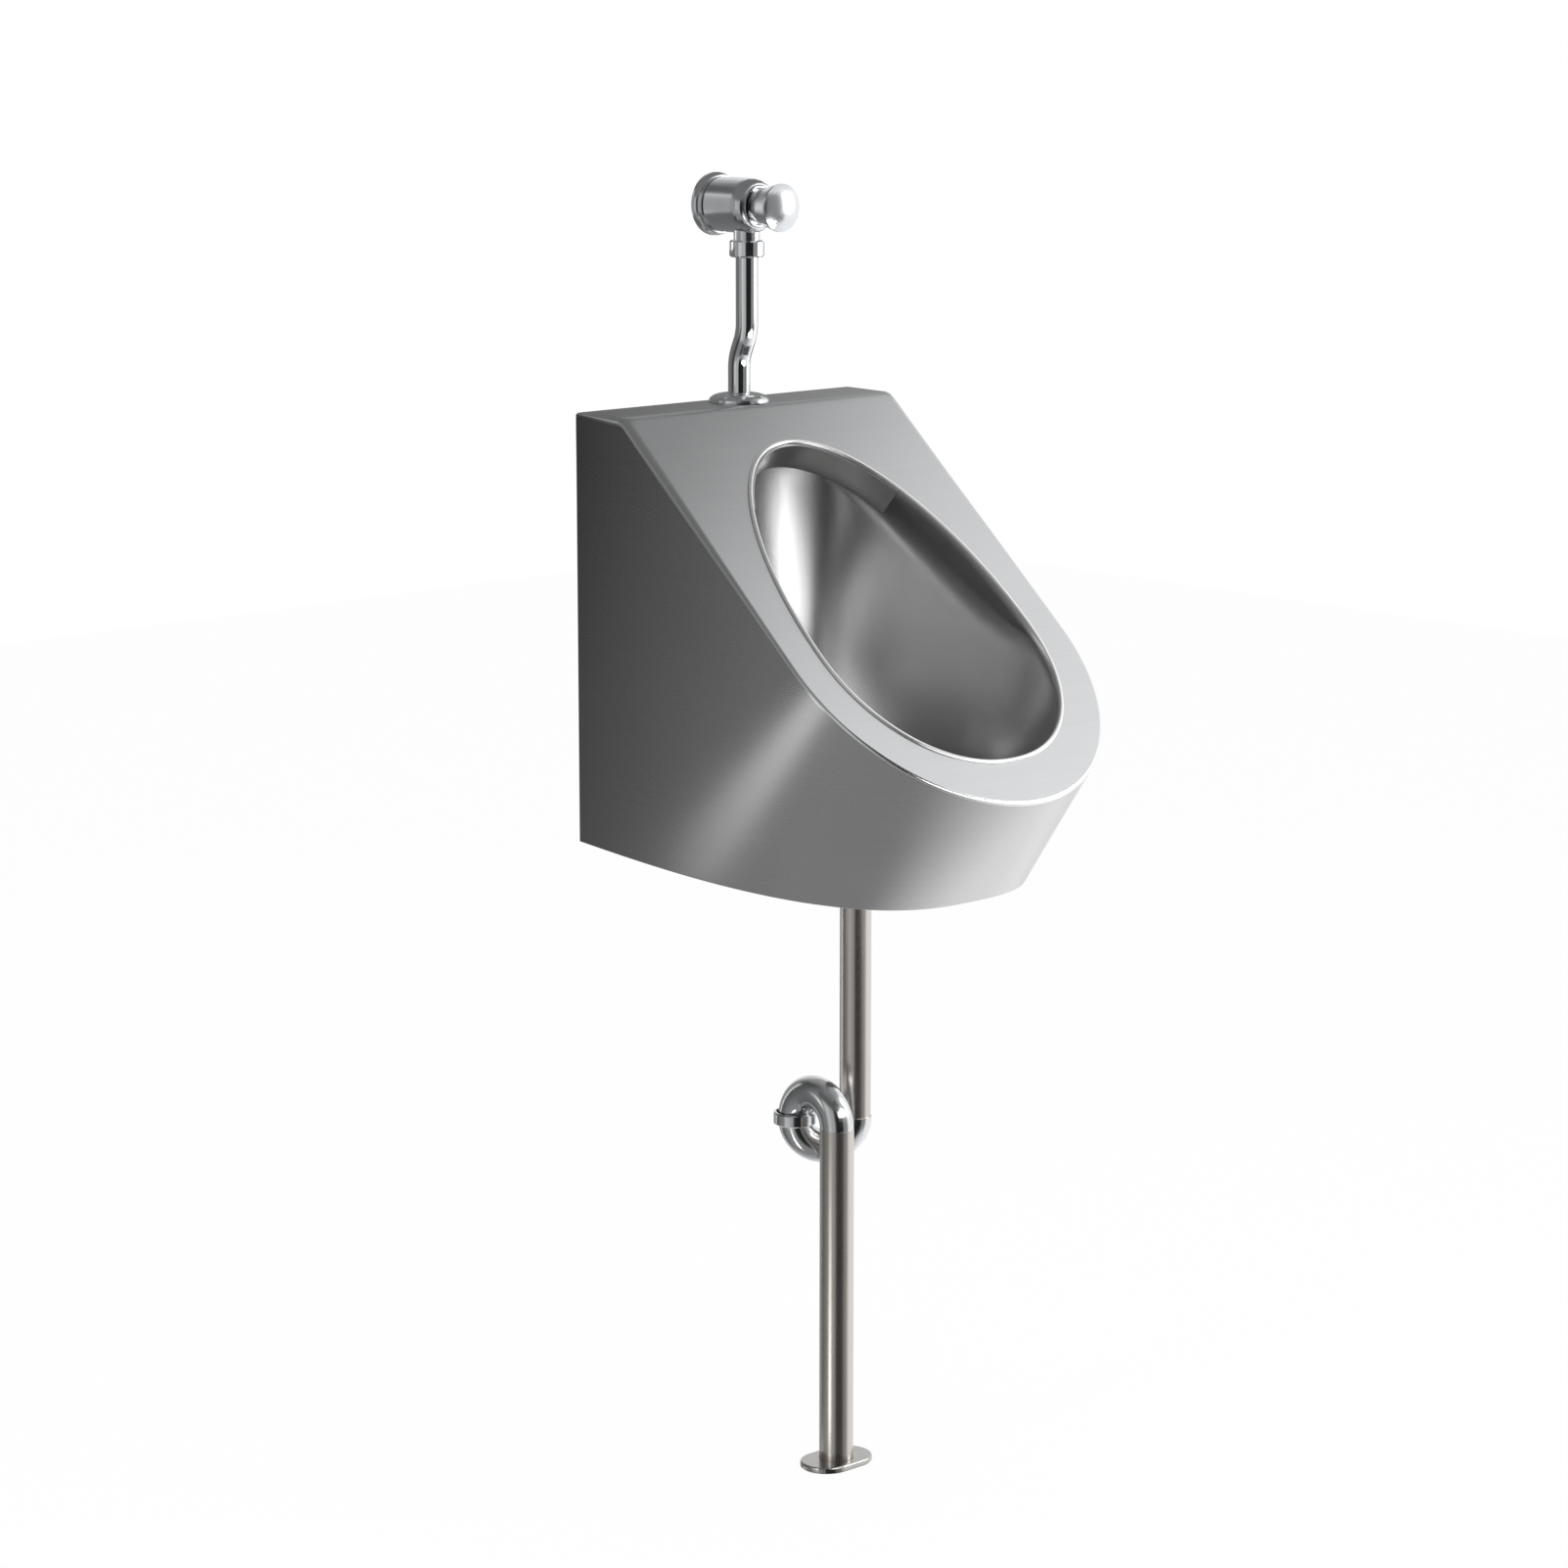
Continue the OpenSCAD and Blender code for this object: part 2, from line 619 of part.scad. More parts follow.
module drain_washer() {
    color(rubber) at_drain(z_drain - sheet_t - seal_t) ring(fit_r + fit_gap, fit_flange_r - 3, seal_t);
}

module drain_locknut() {
    color(brass) at_drain(z_drain - sheet_t - seal_t - locknut_h) difference() {
        cylinder(r = drain_nut_r, h = locknut_h, $fn = 8);
        translate([0, 0, -cut]) cylinder(r = fit_r + fit_gap, h = locknut_h + 2 * cut);
    }
}

tail_lap = 12;
tail_lip = 3;
tail_seal_t = 3;
tail_wall = 3.5;
tail_grip_r = 1.6;
tail_grips = 8;
pipe_lap = 14;

module tail_seal() {
    color(rubber) at_drain(z_fit_low - tail_seal_t) ring(waste_d / 2 + fit_gap, fit_r, tail_seal_t);
}

module tail_nut() {
    h = tail_lap + tail_lip;
    r = fit_r + tail_wall;
    color(brass) at_drain(z_fit_low - tail_seal_t - tail_lip) difference() {
        rotate_extrude() polygon([[waste_d / 2 + seat_gap, 0], [r - 1.5, 0], [r, 2], [r, h],
                                  [fit_r + fit_gap, h], [fit_r + fit_gap, tail_lip],
                                  [waste_d / 2 + seat_gap, tail_lip]]);
        for (i = [0:tail_grips - 1]) rotate(360 * i / tail_grips)
            translate([r + tail_grip_r / 2, 0, -cut]) cylinder(r = tail_grip_r, h = h + 2 * cut);
    }
}

// Waste run: a straight pipe down to the trap, two bends joined by a union, and a pipe to the floor

module waste_pipe() {
    color(steel) at_drain(z_trap) ring(waste_d / 2 - pipe_t, waste_d / 2, z_fit_low + pipe_lap - z_trap);
}

turn_step = leg_pitch * [cos(trap_turn), sin(trap_turn)];
back_step = leg_pitch * [cos(trap_back), sin(trap_back)];
leg = [[0, -drain_y], [0, -drain_y] + turn_step, [0, -drain_y] + turn_step + back_step];

// Half a turn of pipe from the plan point a, in the direction given, hanging down or standing up
module half_bend(a, turn, z, up) {
    translate([a[0], a[1], z]) rotate([0, 0, turn]) translate([leg_pitch / 2, 0, 0])
        rotate([up ? 90 : -90, 0, 0]) rotate_extrude(angle = 180) translate([leg_pitch / 2, 0]) difference() {
            circle(r = bend_d / 2);
            circle(r = bend_d / 2 - pipe_t);
        }
}

module trap_lower_bend() color(chrome) half_bend(leg[0], trap_turn, z_trap, false);

module trap_upper_bend() color(chrome) half_bend(leg[1], trap_back, z_union, true);

module union_washer() {
    color(rubber) translate([leg[1][0], leg[1][1], z_trap])
        ring(bend_d / 2 - pipe_t, bend_d / 2, z_union - z_trap);
}

// The nut's bore leaves room for the bends, which curve away inside it
module union_nut() {
    lip = 1.2;
    r = union_d / 2;
    bore = leg_pitch / 2 - sqrt(pow(leg_pitch / 2 - bend_d / 2, 2) - pow(union_h / 2, 2)) + seat_gap;
    color(chrome) translate([leg[1][0], leg[1][1], (z_trap + z_union) / 2 - union_h / 2]) rotate_extrude()
        polygon([[bore, 0], [r - lip, 0], [r, lip], [r, union_h - lip], [r - lip, union_h], [bore, union_h]]);
}

module floor_pipe() {
    color(steel) translate([leg[2][0], leg[2][1], z_floor])
        ring(tail_d / 2 - pipe_t, tail_d / 2, z_union - z_floor);
}

gasket_t = 1;

module foot_outline(r) {
    union() {
        for (side = [-1, 1]) translate([side * (foot_w - foot_d) / 2, 0]) circle(r = r);
        square([foot_w - foot_d, 2 * r], center = true);
    }
}

module floor_plate() {
    edge = 2;
    color(chrome) translate([leg[2][0], leg[2][1], z_floor + gasket_t]) difference() {
        hull() for (side = [-1, 1]) translate([side * (foot_w - foot_d) / 2, 0, 0]) rotate_extrude($fn = 48)
            polygon(concat([[0, 0], [foot_d / 2, 0]],
                           arc([foot_d / 2 - edge, foot_t - edge], edge, 0, 90, 4), [[0, foot_t]]));
        translate([0, 0, -cut]) cylinder(r = tail_d / 2 + seat_gap, h = foot_t + 2 * cut);
    }
}

module floor_gasket() {
    color(rubber) translate([leg[2][0], leg[2][1], z_floor]) difference() {
        linear_extrude(gasket_t) foot_outline(foot_d / 2 - 1);
        translate([0, 0, -cut]) cylinder(r = tail_d / 2 + seat_gap, h = gasket_t + 2 * cut);
    }
}

// Flush valve: distances along its axis are measured out from the wall

body_start = 1;
chamber_start = 12;
shoulder_l = 13;
gland_t = 4;
mouth_l = button_travel + 2.5;
gland_start = barrel_l - mouth_l - gland_t;
seat_start = 32;
seat_t = 4;
seat_bore = 18;
piston_start = 20;
pad_t = 1.5;
piston_end = seat_start - seat_gap - pad_t;
rod_end = button_l - 8;
spigot_r = rod_d / 2 - 1;
nut_t = 3;
nipple_l = 7;
nipple_bore = 13;
port_r = 7.5;
outlet_r = 5.4;
boss_low = 41;
boss_r = neck_d / 2;
outlet_lap = 14;

module wall_rosette() {
    r = rosette_d / 2;
    b = barrel_d / 2 + seat_gap;
    color(chrome) at_valve() rotate_extrude() polygon(concat(
        [[r - 2, 0], [r, 0], [r, 2]],
        arc([r - 5, 2], 5, 12, 60, 5),
        [[b + 0.9, rosette_l], [b, rosette_l], [b, rosette_l - 2], [r - 2, 2]]));
}

module valve_body() {
    r = barrel_d / 2;
    m = mouth_d / 2;
    color(chrome) at_valve() difference() {
        union() {
            rotate_extrude() polygon(concat(
                [[0, body_start], [r - 1, body_start], [r, body_start + 1], [r, barrel_l - shoulder_l]],
                [for (a = [15:15:75])
                    [m + 2 + (r - m - 2) * cos(a), barrel_l - shoulder_l + (shoulder_l - 1) * sin(a)]],
                [[m + 2, barrel_l - 1], [m + 1, barrel_l], [0, barrel_l]]));
            translate([0, 0, outlet_y]) rotate([90, 0, 0]) cylinder(r = boss_r, h = boss_low);
        }
        translate([0, 0, chamber_start]) cylinder(d = chamber_d, h = barrel_l);
        translate([0, 0, gland_start]) cylinder(d = chamber_d + 2, h = barrel_l);
        translate([0, 0, gland_start + gland_t]) cylinder(r = m, h = barrel_l);
        translate([0, 0, -cut]) cylinder(r = port_r, h = chamber_start + 2 * cut);
        translate([0, 0, -cut]) cylinder(d = inlet_d - 1, h = body_start + nipple_l + cut);
        translate([0, 0, outlet_y]) rotate([90, 0, 0]) cylinder(r = outlet_r, h = boss_low + cut);
        translate([0, -boss_low + outlet_lap, outlet_y]) rotate([90, 0, 0])
            cylinder(r = flush_d / 2 - flush_t, h = outlet_lap + cut);
    }
}

module inlet_nipple() {
    r = inlet_d / 2;
    end = body_start + nipple_l;
    color(brass) at_valve() rotate_extrude()
        polygon([[nipple_bore / 2, -inlet_l], [r, -inlet_l], [r, 0], [r - 0.5 - fit_gap, 0],
                 [r - 0.5 - fit_gap, end], [nipple_bore / 2, end]]);
}

module valve_seat() {
    r = chamber_d / 2 - fit_gap;
    b = seat_bore / 2;
    color(brass) at_valve() translate([0, 0, seat_start]) rotate_extrude()
        polygon([[b, 0], [b + 2, 0], [b + 3, 1], [r, 1], [r, seat_t], [b, seat_t]]);
}

seal_wire = 2.4;

module gland() {
    r = chamber_d / 2 + 1 - fit_gap;
    pocket = rod_d / 2 + seal_wire + 2 * run_gap;
    color(brass) at_valve() translate([0, 0, gland_start]) rotate_extrude() polygon([[pocket, 0], [r, 0],
        [r, gland_t], [rod_d / 2 + run_gap / 2, gland_t], [rod_d / 2 + run_gap / 2, seal_wire + run_gap],
        [pocket, seal_wire + run_gap]]);
}

module stem_seal() {
    color(rubber) at_valve() translate([0, 0, gland_start + seal_wire / 2 + run_gap / 2])
        rotate_extrude() translate([rod_d / 2 + run_gap + seal_wire / 2, 0]) circle(d = seal_wire);
}

// Push button: a flared hollow cap with a domed face, screwed on the rod that opens the valve

button_start = barrel_l - 1.8;
boss_end = rod_end - 10;
dome = 4.5;

module push_button() {
    n = button_neck_d / 2;
    r = button_d / 2;
    side_end = button_l - dome;
    dome_r = (r * r + dome * dome) / (2 * dome);
    dome_a = asin(r / dome_r);
    color(chrome) at_valve() rotate_extrude() polygon(concat(
        [[n - button_t, button_start], [n, button_start], [n + 0.3, button_start + 2.5], [r, side_end - 2],
         [r, side_end]],
        [for (i = [1:7]) let (a = dome_a * (1 - i / 8)) [dome_r * sin(a), button_l + dome_r * (cos(a) - 1)]],
        [[0, button_l], [0, rod_end], [rod_d / 2 + fit_gap, rod_end], [rod_d / 2 + fit_gap, boss_end],
         [rod_d / 2 + 2.5, boss_end], [rod_d / 2 + 2.5, side_end - 3.5], [r - button_t - 1, side_end - 3.5],
         [n + 0.3 - button_t, button_start + 2.5]]));
}

module push_rod() {
    color(brass) at_valve() rotate_extrude()
        polygon([[0, piston_start - nut_t - 1], [spigot_r, piston_start - nut_t - 1],
                 [spigot_r, piston_end + pad_t], [rod_d / 2, piston_end + pad_t],
                 [rod_d / 2, rod_end - 0.5], [0, rod_end - 0.5]]);
}

groove_r = chamber_d / 2 - run_gap - 2.6;
groove_l = 3.2;

module piston() {
    r = chamber_d / 2 - 1;
    g = piston_start + 3;
    color(plastic) at_valve() rotate_extrude()
        polygon([[spigot_r + fit_gap, piston_start], [r - 1, piston_start], [r, piston_start + 1],
                 [r, g], [groove_r, g], [groove_r, g + groove_l], [r, g + groove_l], [r, piston_end],
                 [spigot_r + fit_gap, piston_end]]);
}

module piston_seal() {
    color(rubber) at_valve() translate([0, 0, piston_start + 3 + groove_l / 2])
        rotate_extrude() translate([groove_r + 1.35, 0]) circle(r = 1.25);
}

module seat_washer() {
    color(rubber) at_valve() translate([0, 0, piston_end])
        ring(spigot_r + fit_gap, seat_bore / 2 + 3.5, pad_t);
}

module piston_nut() {
    color(brass) at_valve() translate([0, 0, piston_start - nut_t]) difference() {
        cylinder(r = port_r - 1.5, h = nut_t, $fn = 6);
        translate([0, 0, -cut]) cylinder(r = spigot_r + fit_gap, h = nut_t + 2 * cut);
    }
}

// Return spring: one unbroken tube wound round the rod, from the gland to the inside of the button

spring_start = gland_start + gland_t + seat_gap;
spring_end = button_l - dome - 3.5 - seat_gap;
spring_r = rod_d / 2 + 2.5 + seat_gap + wire_d;
spring_steps = 8;
spring_sides = 6;
n_spring = spring_turns * spring_steps;

function coil_centre(i) =
    let (a = 360 * i / spring_steps, f = i / n_spring)
    [spring_r * cos(a), spring_r * sin(a), mix(spring_start + wire_d / 2, spring_end - wire_d / 2, f)];

function coil_ring(i) =
    let (a = 360 * i / spring_steps, c = coil_centre(i))
    [for (j = [0:spring_sides - 1]) let (b = 360 * j / spring_sides)
        c + wire_d / 2 * (cos(b) * [cos(a), sin(a), 0] + sin(b) * [0, 0, 1])];

coil_gap = (spring_end - spring_start - wire_d) / spring_turns - wire_d;
echo(least_gap_between_spring_turns = coil_gap);

module return_spring() {
    color(steel) at_valve() strip_skin([for (i = [0:n_spring]) coil_ring(i)]);
}

// Flush pipe: from the ring nut under the valve, set back by two equal bends, into the spud in the ledge

collar_r = boss_r - 0.3;
washer_t = 2;
z_outlet = z_valve - boss_low;
z_collar = z_outlet - washer_t - 2 * fit_gap;
collar_t = 2;
nut_lip = 3;

module at_outlet(z) translate([0, -outlet_y, z]) children();

module ring_nut() {
    top = z_collar - collar_t - nut_lip + nut_h;
    lip = 1.5;
    r = nut_d / 2;
    color(chrome) at_outlet(top - nut_h) rotate_extrude()
        polygon([[flush_d / 2 + seat_gap, 0], [r - lip, 0], [r, lip], [r, nut_h - lip], [r - lip, nut_h],
                 [boss_r + fit_gap, nut_h], [boss_r + fit_gap, nut_lip - fit_gap],
                 [flush_d / 2 + seat_gap, nut_lip - fit_gap]]);
}

module outlet_washer() {
    color(rubber) at_outlet(z_outlet - washer_t - fit_gap) ring(flush_d / 2 - flush_t, collar_r, washer_t);
}

set_back = outlet_y - flush_y;
slant = (set_back - 2 * flush_bend_r * (1 - cos(flush_angle))) / sin(flush_angle);
z_low_bend = z_top + flush_foot;
z_high_bend = z_low_bend + 2 * flush_bend_r * sin(flush_angle) + slant * cos(flush_angle);
z_pipe_end = z_top - 12;

n_flush_bend = 6;
n_flush_side = 36;

// The middle line from the lower end up, as distance from the wall, height and slant from the vertical
flush_line = concat(
    [[-flush_y, z_pipe_end, 0]],
    [for (i = [0:n_flush_bend]) let (a = flush_angle * i / n_flush_bend)
        [-flush_y - flush_bend_r * (1 - cos(a)), z_low_bend + flush_bend_r * sin(a), a]],
    [for (i = [n_flush_bend:-1:0]) let (a = flush_angle * i / n_flush_bend)
        [-outlet_y + flush_bend_r * (1 - cos(a)), z_high_bend - flush_bend_r * sin(a), a]],
    [[-outlet_y, z_collar - collar_t, 0]]);

function flush_ring(p, r) = [for (i = [0:n_flush_side - 1]) let (b = 360 * i / n_flush_side)
    [r * sin(b), p[0] + r * cos(b) * cos(p[2]), p[1] + r * cos(b) * sin(p[2])]];

module flush_pipe() {
    r = flush_d / 2;
    last = len(flush_line) - 1;
    top = [-outlet_y, z_collar, 0];
    color(chrome) ring_skin(concat(
        [for (p = flush_line) flush_ring(p, r)],
        [flush_ring(flush_line[last], collar_r), flush_ring(top, collar_r), flush_ring(top, r - flush_t)],
        [for (i = [last - 1:-1:0]) flush_ring(flush_line[i], r - flush_t)]));
}

// Inlet in the ledge: the domed flange hides the spud, which a locknut clamps under the sheet

spud_r = 15;
spud_flange_r = 20;
spud_flange_t = 1.5;
spud_bore = flush_d / 2 + 1.4;
spud_low = 22;
spud_drop = 40;
spud_nut_r = 21;
nozzle_r = 8;

module at_flush(z) translate([0, -flush_y, z]) children();

module dome_flange() {
    r = dome_d / 2;
    b = flush_d / 2 + seat_gap;
    color(chrome) at_flush(z_top + seat_gap / 2) rotate_extrude() polygon(concat(
        [[r - 1.2, 0], [r, 0], [r, 1.2]],
        [for (a = [15:15:75]) [b + 2 + (r - b - 2) * cos(a), 1.2 + (dome_h - 1.7) * sin(a)]],
        [[b + 2, dome_h - 0.5], [b + 1, dome_h], [b, dome_h], [b, dome_h - 3],
         [spud_flange_r + 1, spud_flange_t + 1.2],
         [spud_flange_r + 1, 0]]));
}

module inlet_spud() {
    bore = flush_d / 2 - flush_t - 3;
    color(brass) at_flush(z_top) rotate_extrude()
        polygon([[spud_bore, spud_flange_t], [spud_flange_r, spud_flange_t], [spud_flange_r, 0],
                 [spud_r, 0], [spud_r, -spud_low], [nozzle_r, -spud_low], [nozzle_r, -spud_drop],
                 [bore, -spud_drop], [bore, -spud_low + 3], [spud_bore, -spud_low + 3]]);
}

module spud_seal() {
    color(rubber) at_flush(z_pipe_end + 3)
        ring(flush_d / 2 + fit_gap, spud_bore - fit_gap, z_top - z_pipe_end - 3);
}

module spud_locknut() {
    color(brass) at_flush(z_top - sheet_t - locknut_h) difference() {
        cylinder(r = spud_nut_r, h = locknut_h - seat_gap, $fn = 6);
        translate([0, 0, -cut]) cylinder(r = spud_r + fit_gap, h = locknut_h + 2 * cut);
    }
}

apron();
face_plate();
bowl();
splash_collar();
back_panel();
wall_bracket();
bottom_cover();
cover_screws();
strainer();
strainer_screw();
waste_fitting();
drain_seal();
drain_washer();
drain_locknut();
tail_nut();
tail_seal();
waste_pipe();
trap_lower_bend();
union_nut();
union_washer();
trap_upper_bend();
floor_pipe();
floor_plate();
floor_gasket();
wall_rosette();
valve_body();
inlet_nipple();
valve_seat();
gland();
stem_seal();
push_button();
push_rod();
piston();
piston_seal();
seat_washer();
piston_nut();
return_spring();
ring_nut();
outlet_washer();
flush_pipe();
dome_flange();
inlet_spud();
spud_seal();
spud_locknut();
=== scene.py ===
import math

import bpy
import numpy as np
from mathutils import Matrix

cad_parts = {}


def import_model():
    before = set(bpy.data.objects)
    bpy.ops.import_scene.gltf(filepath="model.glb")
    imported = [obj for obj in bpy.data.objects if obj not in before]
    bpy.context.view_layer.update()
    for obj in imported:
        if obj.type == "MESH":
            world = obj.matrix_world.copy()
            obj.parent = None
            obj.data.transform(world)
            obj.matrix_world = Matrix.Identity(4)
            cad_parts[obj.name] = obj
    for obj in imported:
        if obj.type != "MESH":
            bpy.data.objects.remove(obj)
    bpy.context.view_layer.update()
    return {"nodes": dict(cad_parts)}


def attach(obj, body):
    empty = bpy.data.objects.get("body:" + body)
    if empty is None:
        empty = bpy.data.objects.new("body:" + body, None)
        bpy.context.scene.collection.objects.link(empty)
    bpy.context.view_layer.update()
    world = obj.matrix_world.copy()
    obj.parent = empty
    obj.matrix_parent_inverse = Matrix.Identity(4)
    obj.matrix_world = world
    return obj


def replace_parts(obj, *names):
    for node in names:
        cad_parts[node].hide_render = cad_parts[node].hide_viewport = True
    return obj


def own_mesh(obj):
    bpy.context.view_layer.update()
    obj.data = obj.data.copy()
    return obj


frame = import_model()
print("frame loaded:", len(frame["nodes"]), "nodes")

# lengths are in millimetres in the settings and become metres in makeSkin
mm = 0.001


class Wire:
    # one socket; arithmetic on it adds Math nodes
    def __init__(self, board, socket):
        self.board, self.socket = board, socket

    def maths(self, operation, *values):
        return self.board.add("ShaderNodeMath", {"operation": operation}, dict(enumerate(values)))

    def __add__(self, other):
        return self.maths("ADD", self, other)

    def __radd__(self, other):
        return self.maths("ADD", other, self)

    def __sub__(self, other):
        return self.maths("SUBTRACT", self, other)

    def __rsub__(self, other):
        return self.maths("SUBTRACT", other, self)

    def __mul__(self, other):
        return self.maths("MULTIPLY", self, other)

    def __rmul__(self, other):
        return self.maths("MULTIPLY", other, self)


class Board:
    # a node tree that is built from nothing
    def __init__(self, tree):
        self.tree = tree
        tree.nodes.clear()

    def add(self, kind, settings=None, values=None, out=0):
        node = self.tree.nodes.new(kind)
        for key, value in (settings or {}).items():
            setattr(node, key, value)
        for key, value in (values or {}).items():
            if isinstance(value, Wire):
                self.tree.links.new(value.socket, node.inputs[key])
            else:
                node.inputs[key].default_value = value
        return Wire(self, node.outputs[out]) if len(node.outputs) else node

    def blend(self, factor, first, second):
        return self.add("ShaderNodeMix", {"data_type": "RGBA"}, {0: factor, 6: first, 7: second}, 2)

    def grade(self, value, low, high, toLow, toHigh, kind="LINEAR"):
        return self.add("ShaderNodeMapRange", {"interpolation_type": kind},
                        {0: value, 1: low, 2: high, 3: toLow, 4: toHigh})


def grey(level, warm=0.0):
    return (level * (1 + warm), level, level * (1 - warm), 1)


# a matrix from an object's own three directions and its place in millimetres
def standAt(right, up, back, place):
    matrix = Matrix.Identity(4)
    for column, axis in enumerate((right, up, back, place * mm)):
        for row in range(3):
            matrix[row][column] = axis[row]
    return matrix


# a material and the empty board that its nodes go on
def emptyMaterial(name):
    material = bpy.data.materials.new(name)
    material.use_nodes = True
    return material, Board(material.node_tree)


# the camera: degrees round and above the object, how far it stands, what it aims at and the frame's offset,
# then its focal length and the picture's width in pixels, the sensor's width and what it clips in metres
view = {"turn": 43, "pitch": 10.99, "away": 4151, "aim": (0, -150, -112), "right": 36.4, "up": 141.8,
        "focal": 4500, "pixels": 1602, "sensor": 36, "clip": (0.05, 50)}


def placeCamera():
    turn, pitch = math.radians(view["turn"]), math.radians(view["pitch"])
    back = np.array([-math.sin(turn) * math.cos(pitch), -math.cos(turn) * math.cos(pitch), math.sin(pitch)])
    right = np.array([math.cos(turn), -math.sin(turn), 0])
    up = np.cross(back, right)
    place = np.array(view["aim"]) - view["right"] * right - view["up"] * up + view["away"] * back
    lens = bpy.data.cameras.new("camera")
    lens.lens, lens.sensor_width = view["focal"] / view["pixels"] * view["sensor"], view["sensor"]
    lens.clip_start, lens.clip_end = view["clip"]
    camera = bpy.data.objects.new("camera", lens)
    bpy.context.scene.collection.objects.link(camera)
    camera.matrix_world = standAt(right, up, back, place)
    bpy.context.scene.camera = camera


placeCamera()
bpy.context.scene.view_settings.view_transform = "Standard"
print("camera placed")


# a brushed or polished metal: base level, warmth, roughness, how far streaks change them, and streak lengths
finishes = {
    "apronSteel": {"level": 0.56, "warm": 0.0, "rough": 0.28, "spread": 0.04, "tone": 0.03,
                   "grain": (7, 7, 900), "depth": 0.025},
    "plateSteel": {"level": 0.60, "warm": -0.012, "rough": 0.34, "spread": 0.04, "tone": 0.04,
                   "grain": (7, 620, 620), "depth": 0.04},
    "bowlSteel": {"level": 0.44, "warm": 0.0, "metallic": 0.84, "rough": 0.25, "spread": 0.03, "tone": 0.03,
                  "grain": (260, 260, 9), "depth": 0.02},
    # the collar is the bowl's steel with a lighter base colour, a painted highlight for the light that the
    # collar catches
    "collarSteelPaintedLight": {"level": 0.66, "warm": 0.0, "rough": 0.30, "spread": 0.04, "tone": 0.03,
                    "grain": (200, 9, 200), "depth": 0.03},
    "plainSteel": {"level": 0.52, "warm": 0.0, "rough": 0.36, "spread": 0.05, "tone": 0.06,
                   "grain": (9, 9, 500), "depth": 0.10},
    "chrome": {"level": 0.80, "warm": -0.016, "rough": 0.09, "spread": 0.03, "tone": 0.02,
               "grain": (60, 60, 60), "depth": 0.0},
    "satinPipe": {"level": 0.53, "warm": 0.055, "rough": 0.28, "spread": 0.05, "tone": 0.05,
                  "grain": (420, 420, 6), "depth": 0.045},
    "valveChrome": {"level": 0.69, "warm": -0.024, "rough": 0.19, "spread": 0.04, "tone": 0.03,
                    "grain": (60, 60, 60), "depth": 0.0},
    "satinChrome": {"level": 0.66, "warm": -0.016, "rough": 0.17, "spread": 0.05, "tone": 0.04,
                    "grain": (60, 60, 60), "depth": 0.0},
    "footMetal": {"level": 0.42, "warm": 0.03, "rough": 0.2, "spread": 0.06, "tone": 0.08,
                  "grain": (90, 90, 20), "depth": 0.04},
    "springWire": {"level": 0.50, "warm": 0.02, "rough": 0.25, "spread": 0.05, "tone": 0.05,
                   "grain": (300, 300, 300), "depth": 0.05},
}

# what every metal shares: its streaks and clouds, how they mix into a tone, the height of the grain in
# metres, and what the attribute "polish" turns a sheet's edge into
sheen = {"detail": 3.0, "fine": 0.65, "cloud": 9.0, "cloudDetail": 2.0, "streakShare": 0.7,
         "tones": (0.3, 0.7), "grainHeight": 0.0004, "edgeLevel": 0.80, "edgeRough": 0.19}


def metal(name):
    look = finishes[name]
    material, board = emptyMaterial(name)
    place = board.add("ShaderNodeTexCoord", out=3)
    along = board.add("ShaderNodeMapping", {}, {0: place, 3: look["grain"]})
    streak = board.add("ShaderNodeTexNoise", {}, {
        "Vector": along, "Scale": 1.0, "Detail": sheen["detail"], "Roughness": sheen["fine"]})
    cloud = board.add("ShaderNodeTexNoise", {}, {
        "Vector": place, "Scale": sheen["cloud"], "Detail": sheen["cloudDetail"]})
    mark = board.add("ShaderNodeAttribute", {"attribute_name": "polish"}, out=2)
    share = sheen["streakShare"]
    tone = board.grade(streak * share + cloud * (1 - share), *sheen["tones"], 0.0, 1.0)
    level, warm = look["level"], look["warm"]
    dull = board.blend(tone, grey(level * (1 - look["tone"]), warm), grey(level * (1 + look["tone"]), warm))
    colour = board.blend(mark, dull, grey(sheen["edgeLevel"], warm))
    rough = look["rough"] + (streak - 0.5) * look["spread"] + (cloud - 0.5) * look["spread"]
    rough = rough * (1 - mark) + mark * sheen["edgeRough"]
    shader = {"Base Color": colour, "Metallic": look.get("metallic", 1.0), "Roughness": rough}
    if look["depth"]:
        shader["Normal"] = board.add("ShaderNodeBump", {}, {
            "Strength": look["depth"], "Distance": sheen["grainHeight"], "Height": streak})
    board.add("ShaderNodeOutputMaterial", {}, {0: board.add("ShaderNodeBsdfPrincipled", {}, shader)})
    return material


brass = {"dark": (0.46, 0.32, 0.12, 1), "light": (0.66, 0.50, 0.24, 1), "rough": 0.24, "spread": 0.2,
         "stain": 120.0, "detail": 4.0, "depth": 0.12}


def castBrass():
    material, board = emptyMaterial("castBrass")
    place = board.add("ShaderNodeTexCoord", out=3)
    stain = board.add("ShaderNodeTexNoise", {}, {
        "Vector": place, "Scale": brass["stain"], "Detail": brass["detail"]})
    colour = board.blend(stain, brass["dark"], brass["light"])
    normal = board.add("ShaderNodeBump", {}, {
        "Strength": brass["depth"], "Distance": sheen["grainHeight"], "Height": stain})
    board.add("ShaderNodeOutputMaterial", {}, {0: board.add("ShaderNodeBsdfPrincipled", {}, {
        "Base Color": colour, "Metallic": 1.0, "Roughness": brass["rough"] + stain * brass["spread"],
        "Normal": normal})})
    return material


